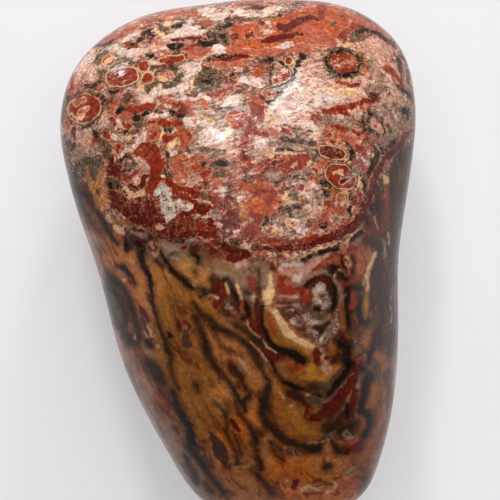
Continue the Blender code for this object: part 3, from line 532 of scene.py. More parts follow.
# The left side below the ridge, columns 70 to 170, rows 200 to 390
LOWER_LEFT = (
    (SLATE, (81, 207, 2.4, 87, 215, 2.6, 92, 224, 2)), (BLACK, (98, 213, 2, 112, 237, 1.6, 118, 244, 1.8),
     (126, 242, 3.4, 128, 246, 5, 127, 249, 3.6)), (CREAM, (102, 209.5, 1.9), (108, 217, 2.4, 112, 222, 2)),
    (GOLD, (114, 221, 2, 123, 222, 2, 128, 226, 2.2)), (CREAM, (116, 227, 3, 119, 230, 3.6, 122, 233, 2)),
    (TAUPE, (132, 232, 2, 146, 237, 2.4)), (BLACK, (132, 229.5, 1.1, 145.5, 232, 1.1)),
    (UMBER, (132, 236, 0.9, 146, 242, 0.9)), (BLACK, (136.5, 242, 1.4, 142, 246, 1.6),
     (142, 252, 2.4, 141, 258, 2.8, 143, 266, 2.8, 149, 276, 2.8, 151, 284, 3, 152, 301, 2.2, 159, 327, 2.2,
     171, 357, 2), (118, 266, 1.5, 123, 267, 2.8, 131, 277, 3, 135, 284, 2.2)),
    (SLATE, (150, 236, 3, 153, 238, 3), (108, 289, 7, 117, 312, 10, 121, 322, 8),
     (107, 274, 3, 111, 279, 6, 124, 288, 3, 132, 304, 3.4, 139, 337, 3.6),
     (125, 334, 4.6, 130, 340, 5.6, 136, 342, 4.4, 123, 331, 3)),
    (PINK, (152, 244, 3.6, 154, 249, 4, 156, 253, 3)),
    (MAROON, (149.5, 247, 1.2, 153, 252, 1.4, 157, 249, 1.2, 154.5, 244.5, 1)),
    (UMBER, (171, 357, 2, 170, 366, 1.8, 173, 377, 1.8, 178, 388, 1.6)),
    (GOLD, (149, 262, 1.5, 159, 273.5, 1.4)), (MAROON, (156, 260.5, 1.1, 163, 270, 1)),
    (OLIVE, (110, 293, 3.4, 114, 302, 5.4, 118, 312, 6, 121, 320, 4)),
    (CREAM, (134.5, 335.5, 1.5, 135, 338.5, 1.7)), (TAUPE, (120, 271, 1.8, 124, 276, 2.2)),
    (CREAM, (124.5, 280, 1.7)), (MAROON, (128.5, 279, 1.2, 131.5, 283, 1.3),
     (140, 307, 2.2, 143, 312, 3.4, 149, 321, 1.4)), (SALMON, (131, 264, 1.5, 133, 268, 1.3)),
    (SLOE, (142, 320, 2, 149, 334, 4, 151, 340, 2.6)), (PINK, (147, 326, 0.9, 150.5, 331, 1.3, 152, 336, 1.1,
     147, 337, 0.9, 144.5, 331, 0.9)), (BLACK, (147, 342, 2.2, 151, 345, 3.2),
     (168, 333, 1.4, 170, 336, 2.8)), (CREAM, (157, 347, 1.5)), (MAROON, (158.5, 351, 1)),
    (TAUPE, (142, 345, 1.6, 150, 355, 2.2)), (SLATE, (149, 363, 4, 154, 369, 5.4, 159, 376, 5.4,
     163, 382, 3.4), (126, 366, 2.4, 131, 380, 3, 137, 392, 2.4)),
)

# Under the middle of the ridge, columns 160 to 262, rows 270 to 370
LOWER_MIDDLE = (
    (BLACK, (167, 263, 2.2, 172, 271, 2.6, 186, 283, 3.6, 191, 287, 2.8, 197, 291, 2.2, 201, 297, 1.4)),
    (SLATE, (199, 289, 3, 204, 291, 4, 206, 294, 2.4), (193, 304, 1.6, 208, 319, 2.8, 214, 326, 4,
     236, 336, 2.6, 242, 341, 3, 249, 346, 3, 253, 352, 2.6, 260, 368, 2.4)),
    (UMBER, (195.5, 272, 1.2, 196.5, 275, 1)), (OCHRE, (206, 281, 2.8, 206, 285, 2)),
    (UMBER, (212, 278, 2.6, 214, 285, 3.4, 217, 281, 2.6, 212, 291, 2.2)),
    (MAROON, (218, 279, 2, 218, 291, 2.4, 222, 300, 2.4, 216, 303, 2.4, 216, 308, 1.6),
     (223.5, 281, 1.4, 223.5, 288, 1.8, 226, 295, 1.6)),
    (CREAM, (205, 296.5, 0.9, 210, 294.5, 0.9, 215.5, 296, 1.1, 218, 299, 1.4)),
    (BLACK, (223, 281, 1.8, 227, 281, 2, 231, 285, 2.2, 232, 291, 1.8, 236, 294, 2.8, 239, 304, 1.2)),
    (CREAM, (226.5, 284.5, 1.4, 227.5, 290, 1.7, 229, 293, 1),
     (236.5, 285, 1.4, 239.5, 292, 1.6, 241.5, 300, 1.2)), (OLIVE, (230, 308, 8.4)),
    (UMBER, (230, 309, 6.4)), (TAUPE, (227, 307, 2.4, 228, 302, 1.6)), (WHITE, (231, 307.5, 1.9)),
    (SALMON, (234, 312, 3.2)), (MAROON, (237, 307, 1.6, 238.5, 314, 1.8)),
    (OLIVE, (240, 313, 1.6, 241, 318, 1.6), (227, 321, 2, 236, 325, 2.2)),
    (BRICK, (249, 277, 2.4, 252, 283, 4.6, 255, 289, 3, 250, 290, 2.6), (186.5, 356, 1.8, 190, 356.5, 1.2)),
    (UMBER, (248, 292, 3.2)), (WHITE, (253, 296, 2.6, 255, 300, 2.2)),
    (ORANGE, (244, 303, 2.4, 243, 310, 2.2)), (BLACK, (246, 302, 1.5, 247, 308, 2.7, 249, 314, 2.2),
     (243, 319, 2.2)), (MAROON, (257, 300, 2.2, 258, 312, 3.4, 260, 324, 3.4)),
    (BLACK, (262, 306, 2.6, 265, 328, 4, 270, 338, 4, 276, 346, 4, 281, 350, 3.4),
     (193.5, 304, 1.1, 206, 316.5, 1)), (SLATE, (236, 325, 2.2, 248, 332, 2.4, 253, 338, 2.2, 259, 342, 2.2),
     (194, 317, 2, 203, 336, 3.6, 208, 352, 4.2, 209, 359, 3, 219, 370, 2.4, 224, 377, 2.6, 230, 383, 3,
     239, 400, 3.4, 243, 404, 4.8, 248, 397, 3, 250, 392, 1.6), (243, 404, 4.8, 245, 410, 3.4)),
    (GOLD, (226, 325.5, 0.8, 247, 338.5, 0.8)), (MAROON, (248, 322, 1.8, 257, 332, 2.6, 261, 336, 1.6),
     (256, 346, 2, 263, 351, 3, 272, 353, 3.4, 279, 358, 2.6, 266, 358, 2),
     (176.5, 318.5, 0.9, 181.5, 325.5, 1.4), (183.5, 321, 1, 187.5, 322.5, 1.6, 190, 326.5, 1.8,
     189, 330.5, 1.4)), (CREAM, (246.5, 321, 0.7, 252, 332, 0.8, 260, 337, 0.8),
     (263.5, 341, 0.7, 269, 348, 0.8, 276.5, 353.5, 0.8), (250, 341.5, 0.7, 256.5, 347, 0.8, 267, 360, 0.9),
     (238, 359, 0.7, 243.5, 364.5, 1, 250, 373.5, 1)), (UMBER, (230, 363, 2.6, 232, 369, 4.4, 238, 374, 4.4,
     243, 382, 2.8, 245, 390, 2), (238, 382, 1.8, 239, 388, 2), (221, 345.5, 0.8, 229.5, 351.5, 0.8),
     (178, 324, 2, 179, 328, 2)), (SLOE, (186, 333, 3, 185, 339, 4.4, 186, 345, 4.2, 192, 344, 3.6)),
    (SALMON, (184, 327.5, 1.7)), (OCHRE, (196, 347, 2.4, 193, 338, 2)),
)

# The V below the ridge, columns 240 to 345, rows 262 to 365
NOTCH = (
    (TAUPE, (263, 264, 3.6, 264, 281, 3.8)), (TAUPE, (265, 270, 5.4, 267, 284, 7.6)),
    (CREAM, (270, 272, 1.4, 270, 280, 2.4), (268, 283, 4.4, 268, 292, 6.6, 267, 301, 4.6)),
    (TAUPE, (264, 287, 2.4, 266, 282, 2)), (OLIVE, (263, 301.5, 1.1)),
    (UMBER, (258.5, 268, 1.2, 259.5, 296, 1.4)), (WHITE, (283, 266, 2.4, 293, 264, 3, 302, 266, 3)),
    (PINK, (283, 271, 3, 306, 271, 4, 303, 279, 3, 288, 273, 3)),
    (WHITE, (295, 276, 3.6, 297, 280, 4.4, 300, 276, 3)),
    (BRICK, (280, 279, 3.4, 284, 277, 2.8, 281, 286, 4.4, 284, 291, 4.6, 297, 291, 2.6), (292, 286, 2)),
    (SALMON, (286, 281, 2.2, 287, 285, 1.4)), (MAUVE, (290.5, 283.5, 1.4, 297, 284.5, 1)),
    (PINK, (279, 297.5, 1.1, 297, 297, 1)), (MAUVE, (278, 300, 1.6, 297, 300, 1.4)),
    (MAROON, (277, 303, 1.3, 284, 303.5, 1.5, 296, 302, 1.1)), (PINK, (278, 306, 1, 297, 306, 1)),
    (MAUVE, (284, 310, 3.4, 293, 310, 3.2, 301, 311, 4, 308, 316, 4, 290, 318, 4.4),
     (295, 326, 4, 304, 324, 5, 312, 322, 4, 308, 332, 3.6, 315, 337, 3.6, 321, 338, 3.6),
     (338, 312, 4.6, 336, 324, 4.6, 332, 332, 4.4, 326, 340, 4, 318, 343, 2.6)),
    (MAROON, (283, 316, 2, 287, 321, 2, 296, 312, 1.4, 303, 319, 1.3, 304, 331, 1.6, 297, 329, 1.3)),
    (UMBER, (316, 328, 2.4, 322, 328, 4.2, 326, 324, 3), (284, 308, 1, 290, 307.5, 1.1, 287, 312.5, 1),
     (322, 297, 15.6)), (CREAM, (285, 313, 0.8, 288.5, 310, 1, 293.5, 310.5, 0.9)),
    (PINK, (291, 321, 1.4, 300, 324, 2.4, 303, 321, 1.6, 305, 317, 1.2)),
    (WHITE, (293.5, 322, 1.2, 299, 325, 1.3), (306, 315, 0.9, 309, 319, 1.1, 314, 322, 1.5, 320, 323, 2,
     326, 320, 1.8), (325.5, 320.5, 1.8, 329, 316.5, 1)), (SLATE, (299, 323, 0.9)),
    (PINK, (306.5, 325, 1.1, 309, 323, 0.9, 312, 325.5, 1.1, 309.5, 328.5, 1.1, 306.5, 325.5, 1),
     (302.5, 283.5, 1.1, 307, 278.5, 1.1, 313.5, 274.5, 1.1, 322, 272.5, 1)), (OLIVE, (309.5, 326, 1.1)),
    (WHITE, (311.5, 330.5, 0.9, 316, 332.5, 1.1), (332.5, 321.5, 0.8, 325.5, 335, 1.2, 320.5, 340.5, 1.9)),
    (TAUPE, (334.5, 320, 0.8, 332, 328, 0.9, 325, 340, 0.8),
     (322, 272.5, 1, 330, 274.5, 0.9, 335.5, 281.5, 0.9),
     (311, 306, 2, 314, 311, 3, 319, 314, 3, 325, 314, 3)),
    (SALMON, (289.5, 326, 0.9, 296.5, 333, 1, 312, 343, 0.9)),
    (BLACK, (305, 286, 2.2, 310, 281, 2, 315, 278, 1.4, 323, 276, 1.2, 331, 279, 1.4, 334, 286, 1.8,
     335, 294, 2.6, 335, 302, 3, 332, 308, 2.4)), (OLIVE, (318.5, 316.5, 1.8, 325, 316, 1.4)),
    (MAROON, (313, 287, 1.6, 317, 282, 2.6, 322, 279, 3, 328, 282, 3, 329, 287, 2.4)),
    (BRICK, (306, 293, 5, 306, 299, 5.4, 311, 302, 2.4)), (ORANGE, (306, 291, 2.4)),
    (WHITE, (321, 287, 4.6, 316, 293, 4.4, 322, 296, 6, 326, 300, 4),
     (315, 301, 3.8, 325, 304, 4, 323, 307, 2.4, 329, 303, 1.6)),
    (TAN, (270, 312, 4, 277, 322, 7.4, 283, 333, 8, 293, 341, 7, 307, 345, 4.6, 314, 347, 2.6)),
    (CREAM, (314, 291, 1.7, 316, 300, 2, 320, 293, 1.2, 330, 304, 1.1),
     (265, 307, 1.2, 276, 313, 2.8, 281, 322, 4.2, 286, 332, 4.8, 294, 339, 5, 306, 344, 3.6, 313, 347, 2)),
    (TAUPE, (324, 292, 1.1, 320.5, 298.5, 1, 325.5, 298, 1.1, 322.5, 302.5, 1)),
    (SLATE, (326.5, 294.5, 0.8, 318.5, 295.5, 0.8, 327, 301, 0.8)),
    (BRICK, (319.5, 306.5, 1.6, 317.5, 304.5, 1)), (BLACK, (314, 309, 2.4, 318, 310, 2.4)),
    (GOLD, (287, 341, 3, 296, 346, 3, 309, 352, 1.6)), (OLIVE, (284, 346, 2.4, 298, 352, 1.6)),
    (GOLD, (266, 312, 1.8, 268, 325, 3.6, 274, 337, 4, 283, 344, 3.4)),
    (ORANGE, (269, 314, 1.8, 271, 324, 3.2, 275, 332, 2.4)),
    (BLACK, (284, 351, 2.6, 290, 353, 4.2, 297, 357, 5.2, 302, 360, 4.4)), (ORANGE, (292, 365, 4.6)),
    (UMBER, (292.5, 368.5, 1, 296, 365, 0.9)),
)

# Right of the V, columns 330 to 400, rows 262 to 372
NOTCH_RIGHT = (
    (TAUPE, (334, 280, 2, 338, 286, 2.6, 341, 294, 3, 341, 303, 3, 345, 318, 3)),
    (OCHRE, (342, 306, 2.4, 344, 313, 2.6, 343, 327, 2)), (SALMON, (340, 283, 1.4, 343, 288, 1.2)),
    (BLACK, (333, 271, 2, 336, 277, 1.4), (339, 274, 2.2, 343, 278, 2.6, 347, 279, 1.8),
     (343, 292, 1.2, 348, 289, 1.8, 357, 286, 1.8, 361, 289, 2), (346, 298, 1.8, 346, 308, 2, 350, 325, 3),
     (361, 298, 1.4, 359, 308, 2, 359, 315, 3.6, 360, 320, 4, 366, 322, 3, 370, 319, 2.2)),
    (CREAM, (335, 274.5, 1.2, 334.5, 278, 0.9), (369, 268, 2, 367, 290, 2)),
    (BRICK, (346, 285, 2, 352, 281, 2), (361, 274.5, 1.5, 360.5, 282, 1.7)),
    (CREAM, (365.5, 273.5, 0.9, 364, 285.5, 0.9)), (UMBER, (372, 272, 1.4, 371, 286, 1.6, 372, 308, 2),
     (380, 283, 4, 381, 297, 5.4, 381, 311, 5, 382, 324, 3.4)),
    (BLACK, (353, 292, 6, 354, 302, 6.6, 353, 309, 5.6)),
    (MAROON, (354, 294, 4.4, 354, 302, 5.2, 353, 308, 4)),
    (BRICK, (353, 294, 3.4, 353, 302, 4, 352, 308, 3)), (ORANGE, (350.5, 306, 1.3)),
    (OCHRE, (354.5, 314.5, 1.6, 356, 320, 1.6)), (MAROON, (354, 320, 1.4, 355, 327, 2, 358, 333, 2),
     (387, 329, 2, 385, 347, 2.2)), (GOLD, (366, 296, 2.2, 366, 303, 3.4, 365, 311, 3.2, 365, 318, 1.8)),
    (OLIVE, (363, 308, 1.2, 363.5, 315, 1.4), (375.5, 292, 1, 377.5, 324, 1)),
    (TAUPE, (370.5, 313, 0.9, 371.5, 318, 0.8)), (SLATE, (388, 282, 1.8, 389.5, 314, 1.6),
     (378, 331, 3, 379, 342, 3, 391, 336, 2, 390, 352, 2.2)), (MAUVE, (391, 290, 1.4, 391, 322, 1.4)),
    (OCHRE, (371, 332, 2, 367, 345, 2.8)), (ORANGE, (369, 339, 1.2, 366, 344, 2.4)),
    (GOLD, (364.5, 343, 0.9, 370.5, 333.5, 0.9)), (MAUVE, (363, 336, 1.6, 359, 346, 1.4),
     (356.5, 339.5, 1.2, 354.5, 345, 1.3)), (BLACK, (374, 334, 1.8, 374, 343, 2.4, 369, 362, 2.8),
     (340, 343, 3.4, 346, 347, 5.4, 346, 356, 4, 348, 366, 3.8)), (UMBER, (339, 356, 3.6, 334, 361, 2.4)),
    (MAROON, (343, 339, 2.4, 340, 333, 2)), (OCHRE, (332, 346, 2.6, 334, 353, 2.8),
     (376, 356, 4, 382, 358, 4, 386, 366, 4)), (BRICK, (352, 363, 1.8, 357, 361, 3, 363, 358, 2.2)),
    (MAUVE, (350.5, 358, 0.8, 355, 354, 0.8, 361, 351.5, 0.8), (355, 350, 1.1, 360, 348.5, 0.9),
     (366, 354, 1.4, 363.5, 363.5, 1.2)), (OLIVE, (372, 322, 1.6, 368.5, 327, 1.4)),
)

# The long lower flank, columns 130 to 262, rows 375 to 500
LOWER_FLANK = (
    (UMBER, (178, 388, 1.2, 174.5, 380, 1)), (BLACK, (173, 390, 1.6, 175, 402, 3, 183, 419, 3.2,
     189, 427, 3.6, 192, 444, 5, 195, 452, 4.4)), (SLATE, (195, 452, 4.6, 212, 479, 3.2, 223, 493, 3.4),
     (185, 457, 2, 188, 460, 2.6, 193, 474, 2.6, 196, 481, 3.6)),
    (UMBER, (187, 464, 2, 190, 468, 2, 195, 470, 1.6), (176, 429, 2, 174, 427, 1, 178, 432, 0.9),
     (195, 384, 1.8, 197, 387, 2.8, 198, 392, 1.6), (199, 445, 2.4, 202, 448, 2.4), (211.5, 384.5, 0.9)),
    (SALMON, (190.5, 398.5, 0.9, 187, 402, 0.8)), (PINK, (199.5, 443.5, 0.9, 203.5, 446.5, 1)),
    (CREAM, (200, 453, 1.1)), (MAROON, (202.5, 441.5, 0.8, 205.5, 441, 1.1)),
    (GOLD, (215, 389, 1.6, 219, 396, 2.4)), (OLIVE, (213, 400, 1.8, 222, 410, 2.4, 227, 413, 1.8)),
    (SLOE, (208, 431, 0.9, 218, 446, 7, 221, 453, 7, 224, 459, 5, 226, 465, 1.4)),
    (UMBER, (225, 468, 1.6, 229, 467, 2, 230, 469, 1.2)),
    (SLATE, (225, 416, 1.6, 227, 422, 2, 227, 431, 2, 229, 440, 1.9, 233, 446, 1.8, 237.5, 459, 1.5,
     238, 464, 1.2), (231, 431, 1.1, 235, 436, 1.4, 237.5, 442, 1.4, 240, 456, 1.4),
     (236, 403, 1.8, 240, 413, 1.6, 250, 427, 2.8, 254, 434, 4.2, 256, 442, 4.4),
     (250, 442, 1.4, 257, 451, 2)), (UMBER, (237, 463.5, 1.4, 243, 464.5, 1.2),
     (257, 450, 2, 258, 457, 1.5, 261, 463, 2, 260, 470, 2.4),
     (252, 471, 1.1, 258, 475, 2, 263, 480, 2, 272, 494, 2.6), (205, 484, 3, 212, 492, 3)),
    (CREAM, (237, 466.5, 1, 241, 465.5, 1.4, 244.5, 467.5, 0.9)), (TAUPE, (230, 456, 0.8, 235, 464, 0.9)),
    (MAROON, (232, 420, 2, 235, 426, 3, 239, 431, 1.8), (261, 431.5, 1, 262, 436, 1.4)),
    (SALMON, (248, 470, 0.8, 260, 484, 0.9)),
)

# The round at the foot of the V and the narrow end, columns 255 to 395, rows 355 to 500
LOWER_END = (
    (SLATE, (261, 362, 1.8, 263, 372, 2.2, 268, 380, 2.4, 269, 387, 2.4, 266, 394, 4.2, 264, 403, 4.8,
     263, 412, 4.6, 266, 421, 4.4)), (UMBER, (266, 421, 4.4, 278, 434, 4.4, 285, 440, 3.8, 293, 444, 3.4)),
    (SLATE, (293, 444, 3.6, 309, 449, 5, 318, 448, 4.2, 322, 441, 2.6)),
    (OLIVE, (322, 441, 2.6, 326, 428, 3, 331, 421, 3), (306, 372, 7, 314, 378, 7.6, 324, 382, 7, 332, 378, 6,
     337, 370, 5, 338, 365, 4)), (OCHRE, (276, 396, 5, 286, 417, 9, 293, 427, 10, 303, 432, 8, 298, 414, 10,
     288, 402, 8)), (GOLD, (292, 411, 5, 298, 421, 6, 305, 429, 5, 311, 433, 4),
     (310, 368, 4.6, 315, 376, 4.4, 304, 378, 4, 326, 378, 3, 337, 367, 2.4)),
    (CREAM, (291, 406.5, 1.4, 295, 403, 0.9), (281, 393, 1.3, 284, 399, 1)),
    (OCHRE, (271, 368, 2.4, 279, 385, 3.6, 285, 392, 3),
     (283, 366, 3, 287, 374, 4.6, 295, 379, 3.6, 304, 382, 3)), (MAROON, (306, 433.5, 1, 307.5, 436.5, 0.8),
     (316, 350, 3, 317, 358, 3.4, 317, 364, 2.4), (322, 352, 2.6, 326, 359, 2.4)),
    (UMBER, (289, 393, 3, 296, 396, 4.2, 304, 400, 3.8), (309, 387, 2.4, 318, 387, 2.4)),
    (TAUPE, (283, 372, 1.6, 287, 376.5, 1.6)), (ORANGE, (299, 370, 5), (292, 365, 4.2)),
    (PINK, (320, 350.5, 1, 323.5, 354.5, 1.2, 321.5, 358.5, 1.2)),
    (PINK, (325, 362, 1, 326, 366, 1.9, 324, 370, 2, 327, 373, 2, 331, 369, 1.8)),
    (TAUPE, (327.5, 366, 1.2, 329, 371, 1.1)), (BLACK, (272, 363, 2, 275, 371, 1.8, 280, 378, 1.9,
     287, 384, 2.4, 294, 387, 2.8, 308, 391, 1.6), (312.5, 394, 0.9, 318, 394.5, 1.4),
     (352, 366, 4.4, 341, 381, 4.8, 331, 393, 3.4), (322, 394, 5.2)), (OLIVE, (321, 392, 2, 324, 395, 2)),
    (TAUPE, (319, 391.5, 0.8, 323, 390, 0.8, 326.5, 393.5, 0.8, 325, 398, 0.8, 320, 398.5, 0.8)),
    (CREAM, (306, 395.5, 1.4, 309.5, 394.5, 1.5)), (TAUPE, (311, 395.5, 0.8, 315.5, 396.5, 0.9,
     322, 401.5, 0.8, 328, 399.5, 0.7)), (OLIVE, (310, 399, 3, 315, 402, 3.6, 320, 405, 2.4)),
    (MAROON, (309, 407, 3.6, 307, 416, 3.6, 311, 418, 4, 318, 417, 5, 327, 412, 6.6, 342, 394, 7.4,
     349, 383, 5.4, 354, 374, 4, 356, 367, 2.6), (356, 380, 3, 353, 410, 3.4, 353, 416, 2.4)),
    (BRICK, (312, 409, 2, 308, 417, 1.6)), (UMBER, (324, 409.5, 0.8, 326.5, 407, 1),
     (327, 428, 4, 334, 423, 4.6, 340, 418, 4, 344, 412, 3)), (TAUPE, (329, 400, 0.7, 352.5, 373, 0.8),
     (331, 422, 0.8, 347.5, 403, 0.9, 349, 396, 0.8), (356.5, 387, 1.8, 361.5, 376, 1),
     (361, 391, 0.8, 360, 399, 0.9, 357.5, 406, 0.8)), (SALMON, (350, 396, 1.1, 351, 391, 1.3),
     (360, 461, 0.9, 368, 448, 0.7)), (BLACK, (347, 404, 1.4, 347, 411, 2, 348, 416, 1.6),
     (361, 367, 2, 364, 370, 2)), (OLIVE, (365, 376, 2.4, 362, 382, 1.8)),
    (BLACK, (369, 378, 4.6, 361, 404, 3), (361, 411, 3.4, 366, 412, 3.6, 370, 418, 4, 369, 425, 3.6,
     365, 434, 3)), (OCHRE, (362, 418, 3, 364, 424, 3, 361, 431, 2.4)),
    (TAUPE, (356, 414, 0.9, 357.5, 420, 0.9)), (UMBER, (333, 438, 2.6, 346, 431, 6, 353, 427, 5.6,
     356, 423, 3.4)), (TAUPE, (332, 436, 2.2, 336, 440, 1.4, 341, 442, 1.2, 335, 432, 1),
     (345, 475.5, 1, 349, 470.5, 1.4, 353.5, 469, 1.4, 358.5, 465.5, 1, 361.5, 459, 0.9),
     (351, 475, 1, 355, 471.5, 1, 362, 474, 0.8)), (SLATE, (355, 424, 3.4, 346, 435, 1.4, 341, 430, 1.2)),
    (WHITE, (345.5, 430.5, 0.9, 350.5, 433.5, 1, 347.5, 437.5, 0.9, 353, 436.5, 0.9, 344, 435, 0.8)),
    (CREAM, (309, 442.5, 0.8, 315, 443, 1.1, 334, 438, 0.9), (346.5, 472.5, 0.8, 352, 468.5, 0.9)),
    (ORANGE, (341, 445, 1.6, 348, 442, 2, 355, 442, 2.4, 351, 447, 1.8)),
    (UMBER, (332, 440, 1.6, 338, 451, 4, 343, 450, 3.4),
     (272, 443, 2.6, 275, 448, 4.6, 278, 453, 4.6, 282, 458, 3)), (MAROON, (347, 452, 3, 361, 443, 3.4)),
    (OCHRE, (274, 446, 1.4, 280, 455, 1.4), (371, 440, 2, 362, 462, 1.6), (380, 420, 2.4, 373, 445, 2.4),
     (374, 388, 5, 373, 398, 5, 371, 406, 3), (385, 405, 2.4, 382, 418, 2.4)),
    (UMBER, (286, 452, 2.6, 298, 452, 3), (326, 467, 2.4, 330, 466, 2)), (SLATE, (289.5, 452.5, 1.5)),
    (PINK, (284, 448.5, 0.9, 286, 454.5, 0.9, 292.5, 447, 1, 293.5, 453, 1.3, 296, 457.5, 1),
     (297.5, 449.5, 0.8, 300.5, 452.5, 0.9, 298.5, 455, 0.8)),
    (SALMON, (344, 484, 4, 354, 482, 4, 361, 484, 3), (284, 472, 1.2, 291, 488, 2),
     (292, 492, 1.6, 297, 497, 1.6)), (BRICK, (350, 478.5, 1, 358, 477.5, 1.2)),
    (UMBER, (365, 480, 2.6, 363, 489, 3), (391, 372, 1.8, 388, 404, 1.6)),
    (CREAM, (285.5, 479.5, 1.1, 287.5, 481.5, 1)), (MAROON, (295, 482, 2.4, 294, 488, 3.4, 298, 479, 1.4)),
    (SALMON, (301, 486, 2.8, 306, 489, 3)), (CREAM, (301.5, 490.5, 1.9, 311.5, 484.5, 1.2, 311, 488, 1.8,
     317.5, 489.5, 1.9, 323.5, 486.5, 1.2), (327, 492, 2, 336, 487, 1.6, 334, 483, 0.9)),
    (GOLD, (306, 483.5, 1.4, 321.5, 484, 1.6, 331.5, 488.5, 1.6)),
    (MAROON, (314, 482.5, 1.4, 319.5, 480.5, 1.4, 331, 484, 1.4, 314.5, 486.5, 1),
     (304, 494, 1.4, 320, 493, 1.1)), (BRICK, (285, 487, 1.4, 283, 483, 1)),
)

# The orbs: body, halo and its width, middle column and row, half length, half width and turn in degrees
ORBS = (
    (BRICK, OLIVE, 2.6, 122, 76.5, 16.2, 10, 7), (ORANGE, OLIVE, 2, 109, 60.8, 6.6, 5.4, 8),
    (BRICK, OLIVE, 1.5, 147.6, 78.6, 6, 5.2, 20), (SALMON, OLIVE, 3.4, 166, 76.4, 8, 5.6, 4),
    (BRICK, UMBER, 1.6, 171, 59.4, 13, 3.4, 6), (BRICK, OLIVE, 2, 144, 66, 4, 5.6, 60),
    (BRICK, OLIVE, 2.4, 84, 108.6, 17, 14.4, 12), (BLACK, OLIVE, 5, 209, 81, 8, 5, 0),
    (BLACK, OLIVE, 1.4, 343.4, 62.8, 18.6, 14.8, -8), (BRICK, SLATE, 0, 343.4, 62.8, 14, 10.2, -8),
    (BRICK, BLACK, 2.6, 282.4, 76, 9, 6.4, 38), (SALMON, BLACK, 3, 269, 93, 7, 5.4, 15),
    (MAROON, BLACK, 2.2, 332.6, 152.4, 13.4, 6.2, -8), (BRICK, BLACK, 2, 340.6, 176.4, 16, 12, -24),
    (PINK, BLACK, 2.4, 376.4, 125.4, 9.6, 4.6, -58), (BRICK, OLIVE, 1.6, 289, 60.4, 4.2, 3.6, 30),
    (SALMON, OLIVE, 1.6, 340.6, 198, 4.4, 4, 0),
)

HEARTS = (
    (BRICK, (109, 60.6, 2.8)), (CREAM, (105.6, 62.6, 1.4, 112, 57.6, 1.2)),
    (CREAM, (161, 78, 2, 166, 80, 1.8)), (BRICK, (167.6, 74.6, 2.4)), (PINK, (171, 78, 1.6)),
    (SALMON, (76, 103, 4, 84, 99, 3)), (CREAM, (71, 114, 1, 75, 116.6, 1.4, 80, 118.6, 1.5,
     84.6, 115.4, 1.1)), (SALMON, (80, 112, 3, 88, 108, 2.4)), (PINK, (84.5, 108.4, 1.8)),
    (SALMON, (337, 64, 4.6, 349, 61.6, 4.8)), (BRICK, (338, 63.8, 3.6, 348.6, 61.8, 3.8)),
    (PINK, (336.6, 64.6, 0.9, 340, 66, 1.1, 343, 62.6, 0.9, 347, 61, 1.1, 350, 62.6, 0.8)),
    (WHITE, (276, 73, 0.9, 282, 70, 1, 287, 71, 0.8)), (SALMON, (280, 78, 2)), (BRICK, (268.6, 93.4, 3.2)),
    (SALMON, (334, 172.6, 1.2, 341, 171.4, 1.6)), (MAROON, (342, 182, 3, 350, 178, 2.4)),
    (CREAM, (338, 174.4, 0.8, 342.6, 175.4, 1.1)), (BRICK, (377, 126, 1.8)),
)

REGIONS = (
    UPPER_LEFT, TOP_LEFT, TOP_MIDDLE, TOP_RIGHT, LEFT, CENTRE, CENTRE_RIGHT, RIGHT_UPPER,
    RIDGE_LEFT, RIDGE_MIDDLE, RIDGE_RIGHT, LOWER_LEFT, LOWER_MIDDLE, NOTCH, NOTCH_RIGHT, LOWER_FLANK,
    LOWER_END,
)

REDS = (SALMON, ORANGE, BRICK, MAROON)
DARKS = (OLIVE, UMBER, SLATE, BLACK)
VEINS = (UMBER, SLATE, BLACK)

# Where the upper, finer marked rock gives way to the brown, flowing rock: (column, row)
ZONE_LINE = (
    (40, 150), (90, 190), (120, 228), (165, 240), (210, 245), (250, 262), (300, 262), (345, 250),
    (372, 205), (400, 150), (430, 130),
)
ZONE_PASSAGE = 12.0  # px, over how much one rock passes into the other
WASH_FALL = 4.8  # how steeply a wash of the ground fades
STROKE_ALLOWANCE = 0.12  # px, added to a stroke's half width, because ragged edges make it look thinner
ORB_END = 0.8  # an orb's ends are this much narrower than its middle

# Small pits that the polish didn't reach: column, row and reach in pixels, depth in mm
PITS = ((204, 187, 2.6, 0.10), (127, 243, 4.5, 0.05), (197, 258, 2.4, 0.05), (303, 261, 2.6, 0.05))

UNSEEN_LEVEL = 7.7  # mm, the height under which the photograph doesn't show the skin
UNSEEN_DIVIDE = 2.0  # mm along the stone, where the upper rock ends on the unseen sides
ROAM_SIZE = 70.0  # px, size of the windings of the unseen sides' ground
UNSEEN_ORBS = ((CREAM, BRICK), (PINK, MAROON), (BLACK, BRICK), (SALMON, BRICK))  # rim and body


@dataclass(frozen=True)
class UnseenStyle:
    """How one kind of rock is marked on the sides that the photograph doesn't show."""

    minerals: tuple
    length: tuple  # px, the shortest and the longest stroke
    half_width: tuple  # px, the thinnest and the thickest
    way: tuple  # radians from +X: least and most in the upper rock, middle and spread in the lower one


UPPER_STYLE = UnseenStyle(
    (BRICK, BRICK, SALMON, PINK, WHITE, CREAM, BLACK, OLIVE, MAROON, ORANGE, TAUPE, MAROON),
    (8, 44), (2.4, 7.0), (-0.6, 1.0),
)
LOWER_STYLE = UnseenStyle(
    (SLATE, SLATE, UMBER, OCHRE, GOLD, MAROON, MAUVE, BLACK, CREAM, OCHRE),
    (20, 100), (2.2, 6.0), (-1.15, 0.22),
)
THIN_MINERALS = (CREAM, WHITE, BLACK)
THINNER = 0.7  # what the half widths of those are multiplied by


def choose(piece: bpy.types.Object) -> None:
    """Select one object alone and make it active.

    Args:
        piece: the object to work on.
    """
    bpy.ops.object.select_all(action="DESELECT")
    piece.select_set(True)
    bpy.context.view_layer.objects.active = piece


